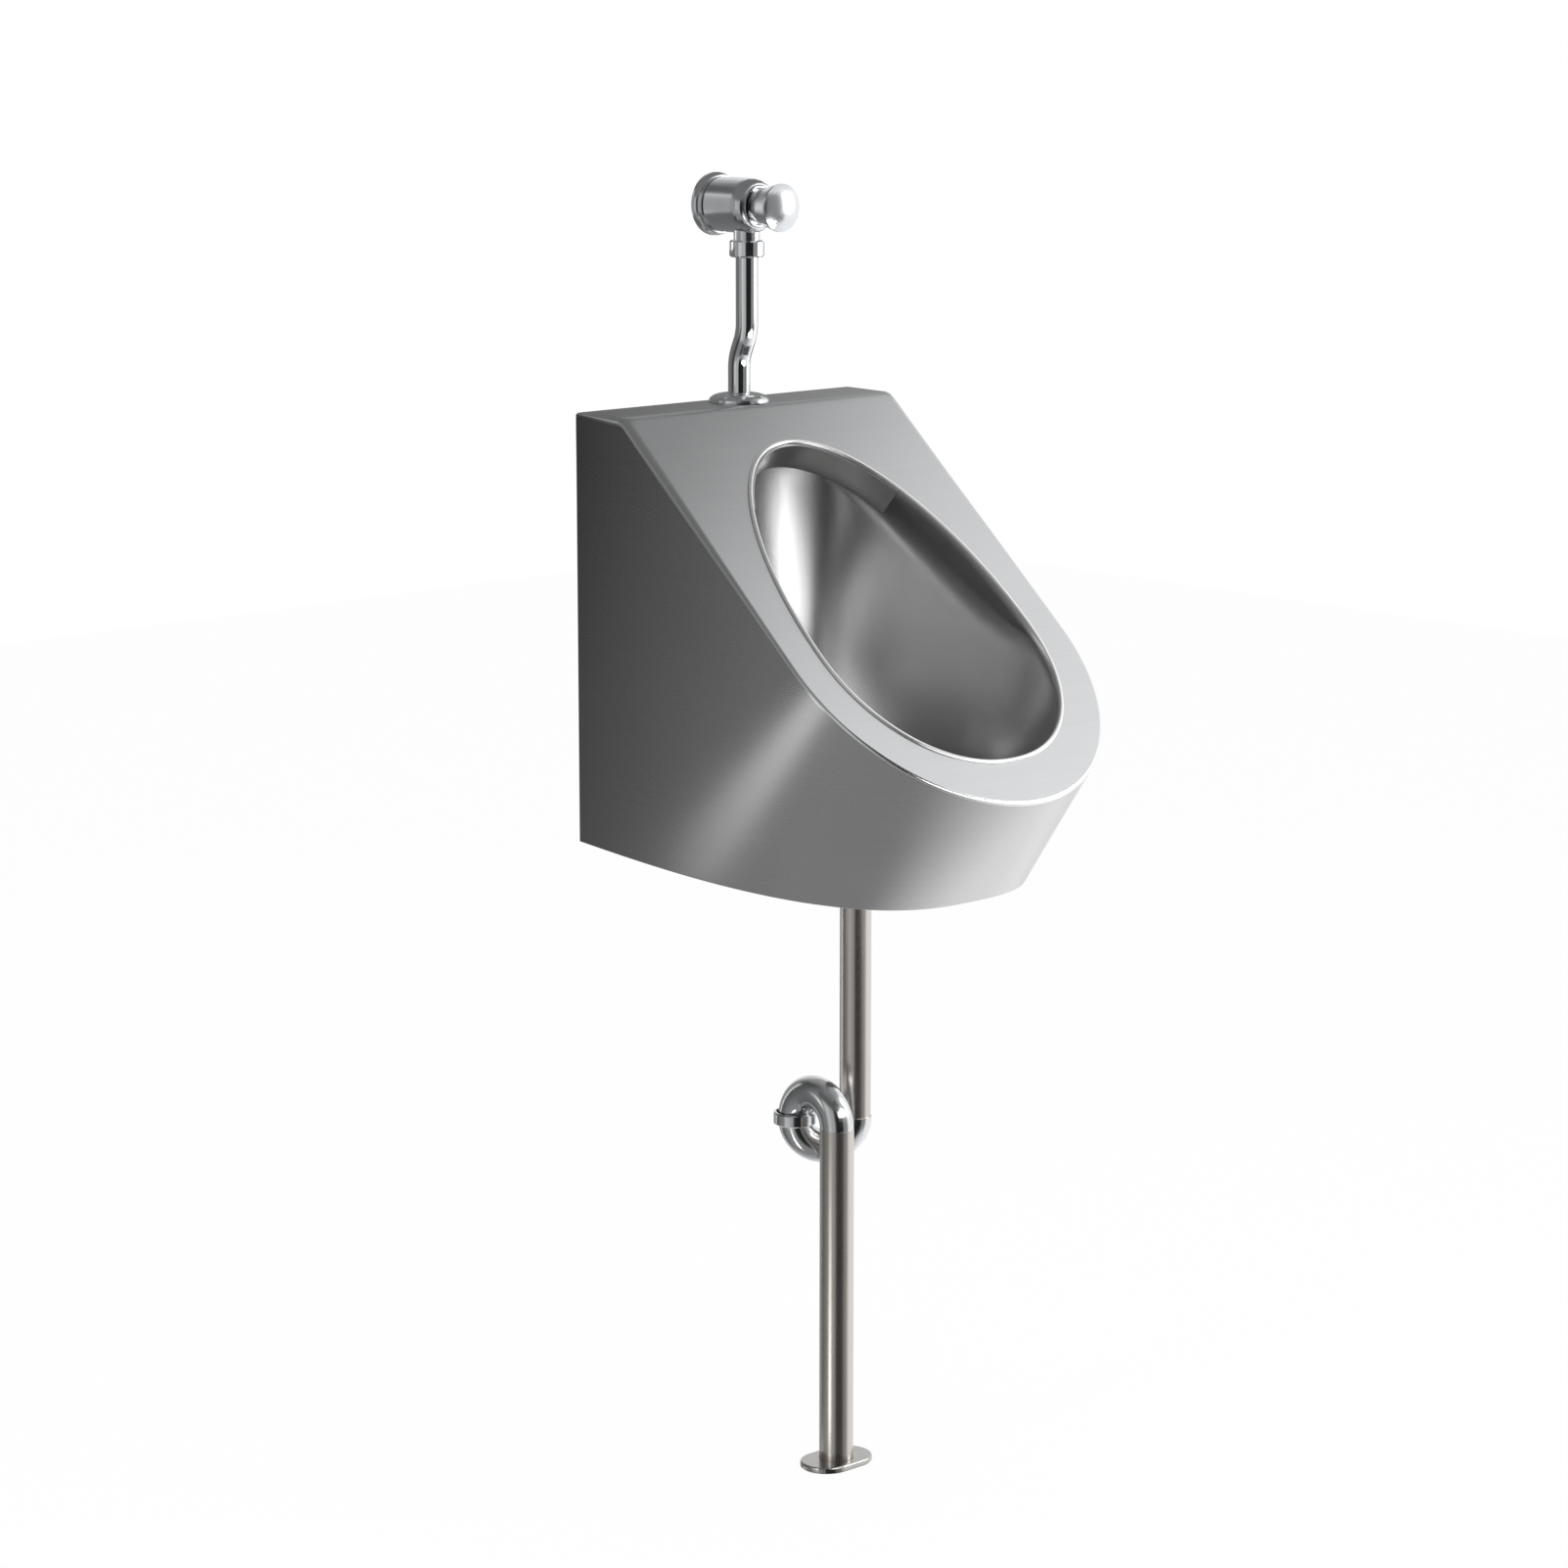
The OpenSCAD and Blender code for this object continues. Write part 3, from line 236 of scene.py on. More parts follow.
# rubber and plastic: flecks and a haze colour the surface, the flecks raise it, and the haze changes its
# roughness
softGrain = {"fleck": 700.0, "fleckDetail": 3.0, "haze": 60.0, "hazeDetail": 2.0, "hazeShare": 0.6,
             "depth": 0.15, "height": 0.0003, "spread": 0.1}
softLooks = {
    "blackRubber": {"dark": (0.012, 0.012, 0.013, 1), "light": (0.03, 0.03, 0.032, 1), "rough": 0.62},
    "whitePlastic": {"dark": (0.66, 0.66, 0.63, 1), "light": (0.78, 0.78, 0.75, 1), "rough": 0.38},
}


def softStuff(name):
    look, grain = softLooks[name], softGrain
    material, board = emptyMaterial(name)
    place = board.add("ShaderNodeTexCoord", out=3)
    fleck, haze = (board.add("ShaderNodeTexNoise", {}, {
        "Vector": place, "Scale": grain[part], "Detail": grain[part + "Detail"]})
        for part in ("fleck", "haze"))
    factor = haze * grain["hazeShare"] + fleck * (1 - grain["hazeShare"])
    colour = board.blend(factor, look["dark"], look["light"])
    rough = look["rough"] + (haze - 0.5) * grain["spread"]
    normal = board.add("ShaderNodeBump", {}, {
        "Strength": grain["depth"], "Distance": grain["height"], "Height": fleck})
    board.add("ShaderNodeOutputMaterial", {}, {0: board.add("ShaderNodeBsdfPrincipled", {}, {
        "Base Color": colour, "Roughness": rough, "Normal": normal})})
    return material


paint = {name: metal(name) for name in finishes}
paint["castBrass"] = castBrass()
paint.update({name: softStuff(name) for name in softLooks})

nodeFinish = {
    "apronSteel": ["apron"],
    "plateSteel": ["face_plate"],
    "bowlSteel": ["bowl"],
    "collarSteelPaintedLight": ["splash_collar"],
    "plainSteel": ["back_panel", "wall_bracket", "bottom_cover", "cover_screws"],
    "satinChrome": ["trap_lower_bend", "union_nut", "trap_upper_bend"],
    "footMetal": ["floor_plate"],
    "valveChrome": ["wall_rosette", "valve_body", "push_button"],
    "chrome": ["strainer", "strainer_screw", "ring_nut", "flush_pipe", "dome_flange", "gland"],
    "satinPipe": ["waste_pipe", "floor_pipe"],
    "castBrass": ["waste_fitting", "drain_locknut", "tail_nut", "inlet_nipple", "valve_seat",
                  "push_rod", "piston_nut", "inlet_spud", "spud_locknut"],
    "blackRubber": ["drain_seal", "drain_washer", "tail_seal", "union_washer", "floor_gasket", "stem_seal",
                    "piston_seal", "seat_washer", "outlet_washer", "spud_seal"],
    "whitePlastic": ["piston"],
    "springWire": ["return_spring"],
}
for finish, names in nodeFinish.items():
    for name in names:
        slots = frame["nodes"][name].data.materials
        for index in range(max(1, len(slots))):
            if index < len(slots):
                slots[index] = paint[finish]
            else:
                slots.append(paint[finish])
print("finishes made:", len(paint))


# A skin joins a grid of points (rows, columns, 3). The columns run round and close on themselves. The rows
# close too when ring is true, and otherwise the first and last row are closed by a face each.
def makeSkin(name, grid, finish, body="root", ring=False, sharp=38, polish=None):
    rows, columns = grid.shape[:2]
    points = grid.reshape(-1, 3) * mm
    i = np.arange(rows if ring else rows - 1)[:, None]
    j = np.arange(columns)[None, :]
    here, below, beside = i * columns, (i + 1) % rows * columns, (j + 1) % columns
    quads = np.stack([here + j, here + beside, below + beside, below + j], -1).reshape(-1, 4)
    a, b, c, d = (points[quads[:, n]] for n in range(4))
    volume = np.einsum("ij,ij->", a, np.cross(b, c)) + np.einsum("ij,ij->", a, np.cross(c, d))
    faces = quads.tolist()
    if not ring:
        faces.append(list(range(columns))[::-1])
        faces.append([(rows - 1) * columns + n for n in range(columns)])
    if volume < 0:
        faces = [face[::-1] for face in faces]
    mesh = bpy.data.meshes.new(name)
    mesh.from_pydata(points.tolist(), [], faces)
    mesh.shade_smooth()
    mesh.set_sharp_from_angle(angle=math.radians(sharp))
    mesh.materials.append(paint[finish])
    if polish is not None:
        mark = mesh.attributes.new("polish", "FLOAT", "POINT")
        mark.data.foreach_set("value", np.broadcast_to(polish, (rows, columns)).astype(np.float32).ravel())
    piece = bpy.data.objects.new(name, mesh)
    bpy.context.scene.collection.objects.link(piece)
    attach(piece, body)
    return piece


def mix(a, b, f):
    return a + (b - a) * f


def smooth(f):
    return f * f * (3 - 2 * f)


def unit(v):
    return v / np.linalg.norm(v, axis=-1, keepdims=True)


def power(v, p):
    return np.sign(v) * np.abs(v) ** p


# the half outline's points, then the same points on the other side in reverse
def mirrored(half):
    return np.concatenate([half, half[-2:0:-1] * [-1, 1, 1]])


# The body's width and heights, its reaches out from the wall and its lengths down the slope. The apron's rear
# edge starts cornerBends bends under the top, and a point there goes up by sideRise of what the flange does.
outer = {"width": 350, "top": 98, "height": 408, "ledge": 64, "lipReach": 436, "lipHeight": 78,
         "baseReach": 353, "baseDrop": 28, "square": 2.76, "straight": 311, "sheet": 1.5, "bend": 8,
         "lipRadius": 3, "skirt": 1, "fold": 13, "gap": 0.3, "flange": 16, "foot": 1.2,
         "cornerBends": 3, "sideRise": 0.9, "rimShare": 0.4}
# the oval opening, measured down the slope: its width, ends and widest place, how full its lower half is, and
# the rim's width and height
hole = {"width": 267, "top": 51, "middle": 298, "low": 446, "full": 0.94, "rim": 4.5, "rise": 2.2}

halfWidth = outer["width"] / 2
baseZ = outer["top"] - outer["height"]
slopeRun = outer["lipReach"] - outer["ledge"]
slopeFall = outer["top"] - baseZ - outer["lipHeight"]
slopeLength = math.hypot(slopeRun, slopeFall)
slope = math.atan2(slopeFall, slopeRun)
baseTilt = math.asin(outer["baseDrop"] / outer["baseReach"])
rimIn = outer["sheet"] * outer["rimShare"]
rimOut = hole["rim"] - rimIn

# k runs along the half outline: 0 middle of the back edge, 6 its end, 9 the fold, 19 end of the straight
# slope, 33 the middle of the lip
kBack, kFold, kLip, kEnd = 6, 9, 19, 33


# height and tilt of the face at the distance y from the wall: flat ledge, round fold, straight slope
def faceHeight(y):
    reach = outer["fold"] * math.tan(slope / 2)
    turned = np.clip((-outer["ledge"] + reach - y) / outer["fold"], 0, math.sin(slope))
    tilt = np.arcsin(turned)
    low = -outer["ledge"] - reach * math.cos(slope)
    height = outer["top"] - outer["fold"] * (1 - np.cos(tilt)) + np.minimum(y - low, 0) * math.tan(slope)
    return height, tilt


def facePoint(x, y, depth=0.0):
    height, tilt = faceHeight(y)
    return np.stack(np.broadcast_arrays(x, y + depth * np.sin(tilt), height - depth * np.cos(tilt)), -1)


def slopePoint(x, s, depth=0.0):
    y = -outer["ledge"] - s * math.cos(slope) + depth * math.sin(slope)
    z = outer["top"] - s * math.sin(slope) - depth * math.cos(slope)
    return np.stack(np.broadcast_arrays(x, y, z), -1)


# the outer edge of the face at k, inset by a distance: back edge, ledge side, slope side, then a quarter oval
def edgePoint(k, inset=0.0):
    turn = np.clip((k - kLip) / (kEnd - kLip), 0, 1) * math.pi / 2
    wide = halfWidth - inset
    x = np.where(k < kBack, wide * k / kBack, wide * np.cos(turn))
    s = outer["straight"] * np.clip((k - kFold) / (kLip - kFold), 0, 1)
    s = s + (slopeLength - outer["straight"] - inset) * np.sin(turn)
    y = -mix(inset, outer["ledge"], np.clip((k - kBack) / (kFold - kBack), 0, 1)) - s * math.cos(slope)
    return facePoint(x, y)


# the base outline: a super-ellipse in a plane that drops towards the front
def basePoint(turn, inset=0.0, up=0.0):
    x = (halfWidth - inset) * np.cos(turn) ** (2 / outer["square"])
    v = (outer["baseReach"] - inset) * np.sin(turn) ** (2 / outer["square"])
    y = -v * math.cos(baseTilt) - up * math.sin(baseTilt)
    return np.stack(np.broadcast_arrays(x, y, baseZ - v * math.sin(baseTilt) + up * math.cos(baseTilt)), -1)


def footPoint(k, inset=0.0, up=0.0):
    turn = np.clip((k - kLip) / (kEnd - kLip), 0, 1) * math.pi / 2
    f = np.clip((k - kBack) / (kLip - kBack), 0, 1)
    z = mix(outer["top"] - outer["cornerBends"] * outer["bend"], baseZ, f)
    side = np.stack(np.broadcast_arrays(halfWidth - inset, 0 * k, z + up * outer["sideRise"]), -1)
    return np.where((k < kLip)[:, None], side, basePoint(turn, inset, up))


# the direction in which the wall runs down from k
def downDirection(k):
    plumb = np.array([0.0, 0.0, -1.0])
    corner = unit(footPoint(np.array([float(kLip)])) - edgePoint(np.array([float(kLip)])))
    lean = unit(mix(plumb, corner, np.clip((k - kFold) / (kLip - kFold), 0, 1)[:, None]))
    return np.where((k <= kLip)[:, None], lean, unit(footPoint(k) - edgePoint(k)))


# the bend between face and wall: soft along the ledge and the upper slope, tight round the lip
def edgeRadius(k):
    rise = mix(outer["lipRadius"], outer["bend"], smooth(np.clip((k - kBack) / (kFold - kBack), 0, 1)))
    return mix(rise, outer["lipRadius"], smooth(np.clip((k - kFold) / (kLip - kFold), 0, 1)))


# the oval opening at the angle from its top: half an ellipse above, a fuller half below
def ovalFlat(angle):
    full = np.where(np.cos(angle) > 0, 1, hole["full"])
    reach = np.where(np.cos(angle) > 0, hole["middle"] - hole["top"], hole["low"] - hole["middle"])
    across = hole["width"] / 2 * power(np.sin(angle), full)
    return np.stack([across, hole["middle"] - reach * power(np.cos(angle), full)], -1)


def ovalOut(angle):
    upper = np.cos(angle) > 0
    reach = np.where(upper, hole["middle"] - hole["top"], hole["low"] - hole["middle"])
    n = 2 / np.where(upper, 1, hole["full"]) - 1
    p = ovalFlat(angle) - [0, hole["middle"]]
    half = hole["width"] / 2
    return unit(np.stack([power(p[..., 0] / half, n) / half, power(p[..., 1] / reach, n) / reach], -1))


def ovalPoint(angle, grow=0.0, depth=0.0):
    p = ovalFlat(angle) + grow * ovalOut(angle)
    return slopePoint(p[..., 0], p[..., 1], depth)


# the angle of the opening's edge that lies towards the outline's point k
def ovalAngle(k):
    e = edgePoint(k)
    back = -outer["ledge"] - e[..., 1]
    s = np.where(k <= kFold, back, back / math.cos(slope))
    reach = np.where(s < hole["middle"], hole["middle"] - hole["top"], hole["low"] - hole["middle"])
    return np.arctan2(e[..., 0] / (hole["width"] / 2), (hole["middle"] - s) / reach)


# steps of each stretch, limits of the rows' shares between hole and edge, where the polish begins, the shares
# of the rows near the hole, and the distances of the others from the fold
plate = {"backSteps": 40, "ledgeSteps": 14, "slopeSteps": 60, "lipSteps": 84, "bendSteps": 9,
         "nearHole": 0.12, "belowFold": (0.75, 0.004), "nearEdge": (0.955, 0.003), "foldFade": 2.5,
         "brightFrom": 6, "brightOver": 3, "hollow": (0.02, 0.2, 0.45, 0.7),
         "aroundFold": (-10, -7.5, -5.5, -3.5, -2, -1, 0, 1, 2, 3.5, 5.5, 8)}


# Each row is a loop round the opening. From the hole outwards it goes over the face, round the bend, down
# the skirt and back under the sheet. A point of the face is hole + f (edge - hole), at the face's height.
def facePlate():
    k = np.concatenate([np.linspace(0, kBack, plate["backSteps"], False),
                        np.linspace(kBack, kFold, plate["ledgeSteps"], False),
                        np.linspace(kFold, kLip, plate["slopeSteps"], False),
                        np.linspace(kLip, kEnd, plate["lipSteps"])])
    sheet, radius, down = outer["sheet"], edgeRadius(k)[:, None], downDirection(k)
    around = sheet - rimIn + 2 * outer["gap"]
    inner = ovalPoint(ovalAngle(k), around)
    edge = edgePoint(k, edgeRadius(k))
    toFold = (-outer["ledge"] - inner[:, 1]) / np.where(k < kFold - 0.01, edge[:, 1] - inner[:, 1], 1)
    f = np.where(k < kFold, toFold, 1 - 0.5 * smooth(np.clip((k - kFold) / plate["foldFade"], 0, 1)))
    span = np.linalg.norm(edge - inner, axis=1)
    count = len(plate["aroundFold"])
    (least, leastStep), (most, mostStep) = plate["belowFold"], plate["nearEdge"]
    shares = [np.clip(f, plate["nearHole"], 1) * part for part in plate["hollow"]]
    for n, away in enumerate(plate["aroundFold"]):
        shares.append(np.clip(f + away / span, f * least + leastStep * n, most + mostStep * n))
    shares.append(np.full_like(f, most + mostStep * (count + 1)))

    def across(share, depth):
        p = mix(inner, edge, share[:, None])
        return facePoint(p[:, 0], p[:, 1], depth)

    def bend(a, depth):
        out = edgePoint(k, (radius - (radius - depth) * math.sin(a))[:, 0])
        return out + down * (radius - (radius - depth) * math.cos(a))

    angles = np.linspace(0, math.pi / 2, plate["bendSteps"])
    top = [inner] + [across(s, 0) for s in shares]
    bent = [bend(a, 0) for a in angles]
    skirt = [edgePoint(k, inset) + down * (radius + outer["skirt"]) for inset in (0, sheet)]
    under = [bend(a, sheet) for a in angles[::-1]]
    low = [across(s, sheet) for s in shares[::-1]]
    low.append(ovalPoint(ovalAngle(k), around, sheet))
    rows = top + bent + skirt + under + low
    # the lip's edge is polished from part way down the slope
    bright = smooth(np.clip((k - kFold - plate["brightFrom"]) / plate["brightOver"], 0, 1))
    polish = np.zeros((len(rows), len(k)))
    for n in range(len(bent) + len(skirt)):
        polish[len(top) + n] = bright * min(1, n / 2)
    polish = np.concatenate([polish, polish[:, -2:0:-1]], axis=1)
    grid = np.stack([mirrored(row) for row in rows])
    piece = makeSkin("facePlate", grid, "plateSteel", ring=True, polish=polish)
    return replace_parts(piece, "face_plate")


facePlate()
print("face plate made")


# steps of each stretch, how they crowd where the lip starts, the gap under the plate's skirt, the foot's
# rounding, and how far the flange is lifted at the sides
apron = {"ledgeSteps": 10, "slopeSteps": 44, "lipSteps": 96, "wallSteps": 26, "crowd": 1.35, "gap": 0.2,
         "footMost": 0.4, "footIn": 0.6, "footTurn": (0.12, 0.45, 1.0), "sideLift": 0.5}


# Each column is the wall's section at one place of the outline: down the outside in a straight line from
# the face's edge to the base, round the foot, in over the flange and up the inside.
def apronSheet():
    k = np.concatenate([np.linspace(kBack, kFold, apron["ledgeSteps"], False),
                        np.linspace(kFold, kLip, apron["slopeSteps"], False),
                        kLip + (kEnd - kLip) * np.linspace(0, 1, apron["lipSteps"]) ** apron["crowd"]])
    sheet = outer["sheet"]
    drop = (edgeRadius(k) + outer["skirt"] + apron["gap"])[:, None] * downDirection(k)
    topOut = edgePoint(k) + drop
    inward = np.where((k <= kLip)[:, None], edgePoint(k) - [sheet, 0, 0], edgePoint(k, sheet))
    topIn = inward + drop
    wide = np.where(k <= kLip, sheet, outer["flange"])
    foot, footIn = footPoint(k), footPoint(k, sheet)
    flangeUp = sheet + 2 * outer["gap"]
    share = np.linspace(0, 1, apron["wallSteps"])
    length = np.linalg.norm(foot - topOut, axis=1, keepdims=True)
    near = np.minimum(outer["foot"] / length, apron["footMost"])
    outside = [mix(topOut, foot, (1 - near) * s) for s in share]
    turn = apron["footTurn"]
    curl = [mix(foot, topOut, near * (1 - s) ** 2) for s in np.linspace(0, 1, len(turn) + 1)[1:]]
    curl = [mix(point, mix(footIn, foot, apron["footIn"]), s ** 2) for point, s in zip(curl, turn)]
    lifted = flangeUp + np.where(k <= kLip, apron["sideLift"], 0)
    flange = [footIn, footPoint(k, sheet, flangeUp), footPoint(k, wide, lifted),
              footPoint(k, wide, flangeUp + sheet), footPoint(k, sheet, flangeUp + 2 * sheet)]
    inside = [mix(flange[-1], topIn, s) for s in share[1:]]
    rows = outside + curl + flange + inside
    half = np.stack(rows)
    grid = np.concatenate([half, half[:, -2::-1] * [-1, 1, 1]], axis=1)
    piece = makeSkin("apronSheet", grid.transpose(1, 0, 2), "apronSteel", sharp=30)
    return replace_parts(piece, "apron")


apronSheet()
print("apron made")


# plan sizes of the shoulder and the floor, depths under the face, and each corner's start and steps, where a
# corner takes no more than a share of either side
basin = {"width": 304, "back": 24, "floorWidth": 268, "floorHeight": 40, "front": 385, "floorFront": 335,
         "middle": 270, "floorMiddle": 235, "corner": 0.7, "drainY": 196, "drainFlat": 37, "drainBore": 21.5,
         "around": 288, "rimSteps": 15, "rimTurn": (12, 168), "underRim": 1, "throat": 7,
         "shoulder": (-3, 30), "floorBack": 4, "floorRise": 8,
         "corners": ((4, 4), (26, 12), (80, 14)), "cornerMost": 0.48, "runs": (2, 10, 3)}
drainZ = baseZ + basin["floorHeight"]


# plan outline: a squared oval of half width a from its back b over its widest place m to its front f
def bowlPlan(angle, a, b, m, f):
    reach = np.where(np.cos(angle) > 0, m - b, f - m)
    x = a * power(np.sin(angle), basin["corner"])
    return x, -m + reach * power(np.cos(angle), basin["corner"])


# the corner q between p and s as a parabola that starts a distance from it
def roundedCorner(p, q, s, start, steps):
    def near(far):
        length = np.linalg.norm(far - q, axis=1, keepdims=True)
        return q + (far - q) / length * np.minimum(start, length * basin["cornerMost"])
    a, b = near(p), near(s)
    return [a * (1 - f) ** 2 + q * 2 * f * (1 - f) + b * f * f for f in np.linspace(0, 1, steps + 1)]


def straightRun(a, b, steps):
    return [mix(a, b, f) for f in np.linspace(0, 1, steps + 2)[1:-1]]


# Each column starts under the rim, runs out to the shoulder, down the wall and in to the drain. The rim is
# half an ellipse over the opening's edge, and the outside is one sheet out along the inside's normal.
def bowlShell():
    angle = np.arange(basin["around"]) * 2 * math.pi / basin["around"]
    start, throat = (ovalPoint(angle, -rimIn, basin[depth]) for depth in ("underRim", "throat"))
    x, y = bowlPlan(angle, basin["width"] / 2, basin["back"], basin["middle"], basin["front"])
    drop = mix(*basin["shoulder"], (1 - np.cos(angle)) / 2)
    shoulder = np.stack([x, y, ovalPoint(angle)[:, 2] - drop], -1)
    x, y = bowlPlan(angle, basin["floorWidth"] / 2, basin["back"] + basin["floorBack"], basin["floorMiddle"],
                    basin["floorFront"])
    foot = np.stack([x, y, np.full_like(x, drainZ + basin["floorRise"])], -1)

    def drainRing(radius):
        y = radius * np.cos(angle) - basin["drainY"]
        return np.stack([radius * np.sin(angle), y, np.full_like(angle, drainZ)], -1)

    seat = drainRing(basin["drainFlat"])
    line = (start, throat, shoulder, foot, seat)
    places = zip(line, line[1:], line[2:], basin["corners"])
    corners = [roundedCorner(*three, *corner) for *three, corner in places]
    inside = [start]
    for corner, far, steps in zip(corners, (corners[1][0], corners[2][0], seat), basin["runs"]):
        inside += corner + straightRun(corner[-1], far, steps)
    inside = np.stack(inside + [seat, drainRing(basin["drainBore"])])
    along = np.concatenate([inside[1:], inside[-1:]]) - np.concatenate([inside[:1], inside[:-1]])
    around = np.roll(inside, -1, axis=1) - np.roll(inside, 1, axis=1)
    outside = inside + outer["sheet"] * unit(np.cross(around, along))
    outside[0] = ovalPoint(angle, outer["sheet"] - rimIn, basin["underRim"])
    halfRim, middle, rise = (rimOut + rimIn) / 2, (rimOut - rimIn) / 2, hole["rise"] - outer["gap"]
    turns = np.linspace(*basin["rimTurn"], basin["rimSteps"]) * math.pi / 180
    rim = [ovalPoint(angle, rimOut, -outer["gap"])]
    rim += [ovalPoint(angle, middle + halfRim * math.cos(a), -outer["gap"] - rise * math.sin(a))
            for a in turns]
    closing = [ovalPoint(angle, outer["sheet"] - rimIn, -outer["gap"])]
    grid = np.concatenate([np.stack(rim), inside, outside[::-1], np.stack(closing)])
    polish = np.zeros((len(grid), 1))
    polish[:len(rim) + 1] = polish[-1] = 1
    piece = makeSkin("bowlShell", grid, "bowlSteel", ring=True, polish=polish)
    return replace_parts(piece, "bowl")


bowlShell()
print("bowl made")


collar = {"width": 188, "depth": 31, "inset": 1.5, "rise": 1, "steps": 96, "crimp": 0.5}


# a strip of constant depth whose section is carried along the opening's upper arc
def splashCollar():
    reach = math.asin(collar["width"] / hole["width"])
    angle = np.linspace(-reach, reach, collar["steps"])
    t, a, d, c = outer["sheet"], collar["inset"], collar["depth"], collar["crimp"]
    section = [(a, d - c), (a + c * 0.4, d - c * 0.3), (a + t / 2, d), (a + t - c * 0.4, d - c * 0.3),
               (a + t, d - c), (a + t, d * 0.5), (a + t, collar["rise"]), (a, collar["rise"]), (a, d * 0.5)]
    grid = np.stack([ovalPoint(angle, -inset, depth) for inset, depth in section], axis=1)
    # the collar's finish is the bowl's steel painted lighter, a painted highlight
    piece = makeSkin("splashCollar", grid, "collarSteelPaintedLight", sharp=50)
    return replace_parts(piece, "splash_collar")


splashCollar()
print("splash collar made")


# the pipe's lower and upper place in y, heights over the body's top, bends, the collar under the valve, and
# the way from the valve's axis down over its boss and washer
flush = {"radius": 10.5, "wall": 1.2, "lowY": -34, "highY": -45, "bendRadius": 45, "angle": 24, "foot": 32,
         "end": 12, "top": 186, "boss": 41, "washer": 2.1, "collar": 2, "collarRadius": 12.2, "sides": 96,
         "straight": 10, "bendSteps": 20}


# a circle carried along a line in the plane x = 0: up, one bend forwards, one bend back, and up
def flushPipe():
    lean, r = math.radians(flush["angle"]), flush["radius"]
    a = np.linspace(0, lean, flush["bendSteps"])
    setBack = flush["lowY"] - flush["highY"]
    slant = (setBack - 2 * flush["bendRadius"] * (1 - math.cos(lean))) / math.sin(lean)
    low = outer["top"] + flush["foot"]
    high = low + 2 * flush["bendRadius"] * math.sin(lean) + slant * math.cos(lean)
    seat = outer["top"] + flush["top"] - flush["boss"] - flush["washer"]
    line = [(flush["lowY"], outer["top"] + z, 0) for z in (-flush["end"], flush["straight"])]
    aside, along = flush["bendRadius"] * (1 - np.cos(a)), flush["bendRadius"] * np.sin(a)
    line += list(zip(flush["lowY"] - aside, low + along, a))
    line += list(zip(flush["highY"] + aside, high - along, a))[::-1]
    line += [(flush["highY"], seat - flush["collar"], 0)]
    line = np.array(line)
    turn = np.arange(flush["sides"]) * 2 * math.pi / flush["sides"]

    def circle(point, radius):
        y, z, tilt = point
        return np.stack([radius * np.sin(turn), y + radius * np.cos(turn) * math.cos(tilt),
                         z + radius * np.cos(turn) * math.sin(tilt)], -1)

    top = (flush["highY"], seat, 0)
    rows = [circle(p, r) for p in line]
    rows += [circle(place, flush["collarRadius"]) for place in (line[-1], top)]
    rows.append(circle(top, r - flush["wall"]))
    rows += [circle(p, r - flush["wall"]) for p in line[::-1][1:]]
    piece = makeSkin("flushPipe", np.stack(rows), "chrome", ring=True, sharp=35)
    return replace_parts(piece, "flush_pipe")


flushPipe()
print("flush pipe made")


# the height of the valve's axis, the spring's ends out from the wall, its radius, wire and turns, its least
# pitch as a share of the full one, and the button's travel
valve = {"height": outer["top"] + flush["top"], "springStart": 54.8, "springEnd": 89.7, "coil": 8.4,
         "wire": 1.6, "turns": 7, "deadTurns": 1, "deadPitch": 0.22, "stepsPerTurn": 40, "sides": 14,
         "travel": 6}


# A wire wound round the valve's axis: the angle grows evenly and the pitch eases out to nothing at both
# ends, where the last turn lies flat on the turn before it.
def returnSpring():
    turns = valve["turns"] + 2 * valve["deadTurns"]
    t = np.linspace(0, turns, turns * valve["stepsPerTurn"] + 1)
    length = valve["springEnd"] - valve["springStart"] - valve["wire"]
    ease = np.clip(t / valve["deadTurns"], 0, 1) ** 2 + np.clip((turns - t) / valve["deadTurns"], 0, 1) ** 2
    pitch = np.where(ease < 2, np.maximum(ease - 1, valve["deadPitch"]), 1.0)
    travelled = np.concatenate([[0], np.cumsum((pitch[1:] + pitch[:-1]) / 2)])
    out = valve["springStart"] + valve["wire"] / 2 + length * travelled / travelled[-1]
    a, b = 2 * math.pi * t[:, None], np.linspace(0, 2 * math.pi, valve["sides"], False)[None, :]
    r = valve["coil"] + valve["wire"] / 2 * np.cos(b)
    grid = np.stack(np.broadcast_arrays(r * np.cos(a), -(out[:, None] + valve["wire"] / 2 * np.sin(b)),
                                        valve["height"] + r * np.sin(a)), -1)
    piece = makeSkin("returnSpring", grid, "springWire", body="button")
    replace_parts(piece, "return_spring")
    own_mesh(piece)
    return piece


returnSpring()
print("spring made")


nipple = {"radius": 10.45, "bore": 6.5, "length": 22, "plain": 3, "fade": 2, "pitch": 1.814, "cut": 1.0,
          "neck": 9.9, "inside": 8, "sides": 96, "rowsPerTurn": 10, "chamfer": 1.2}


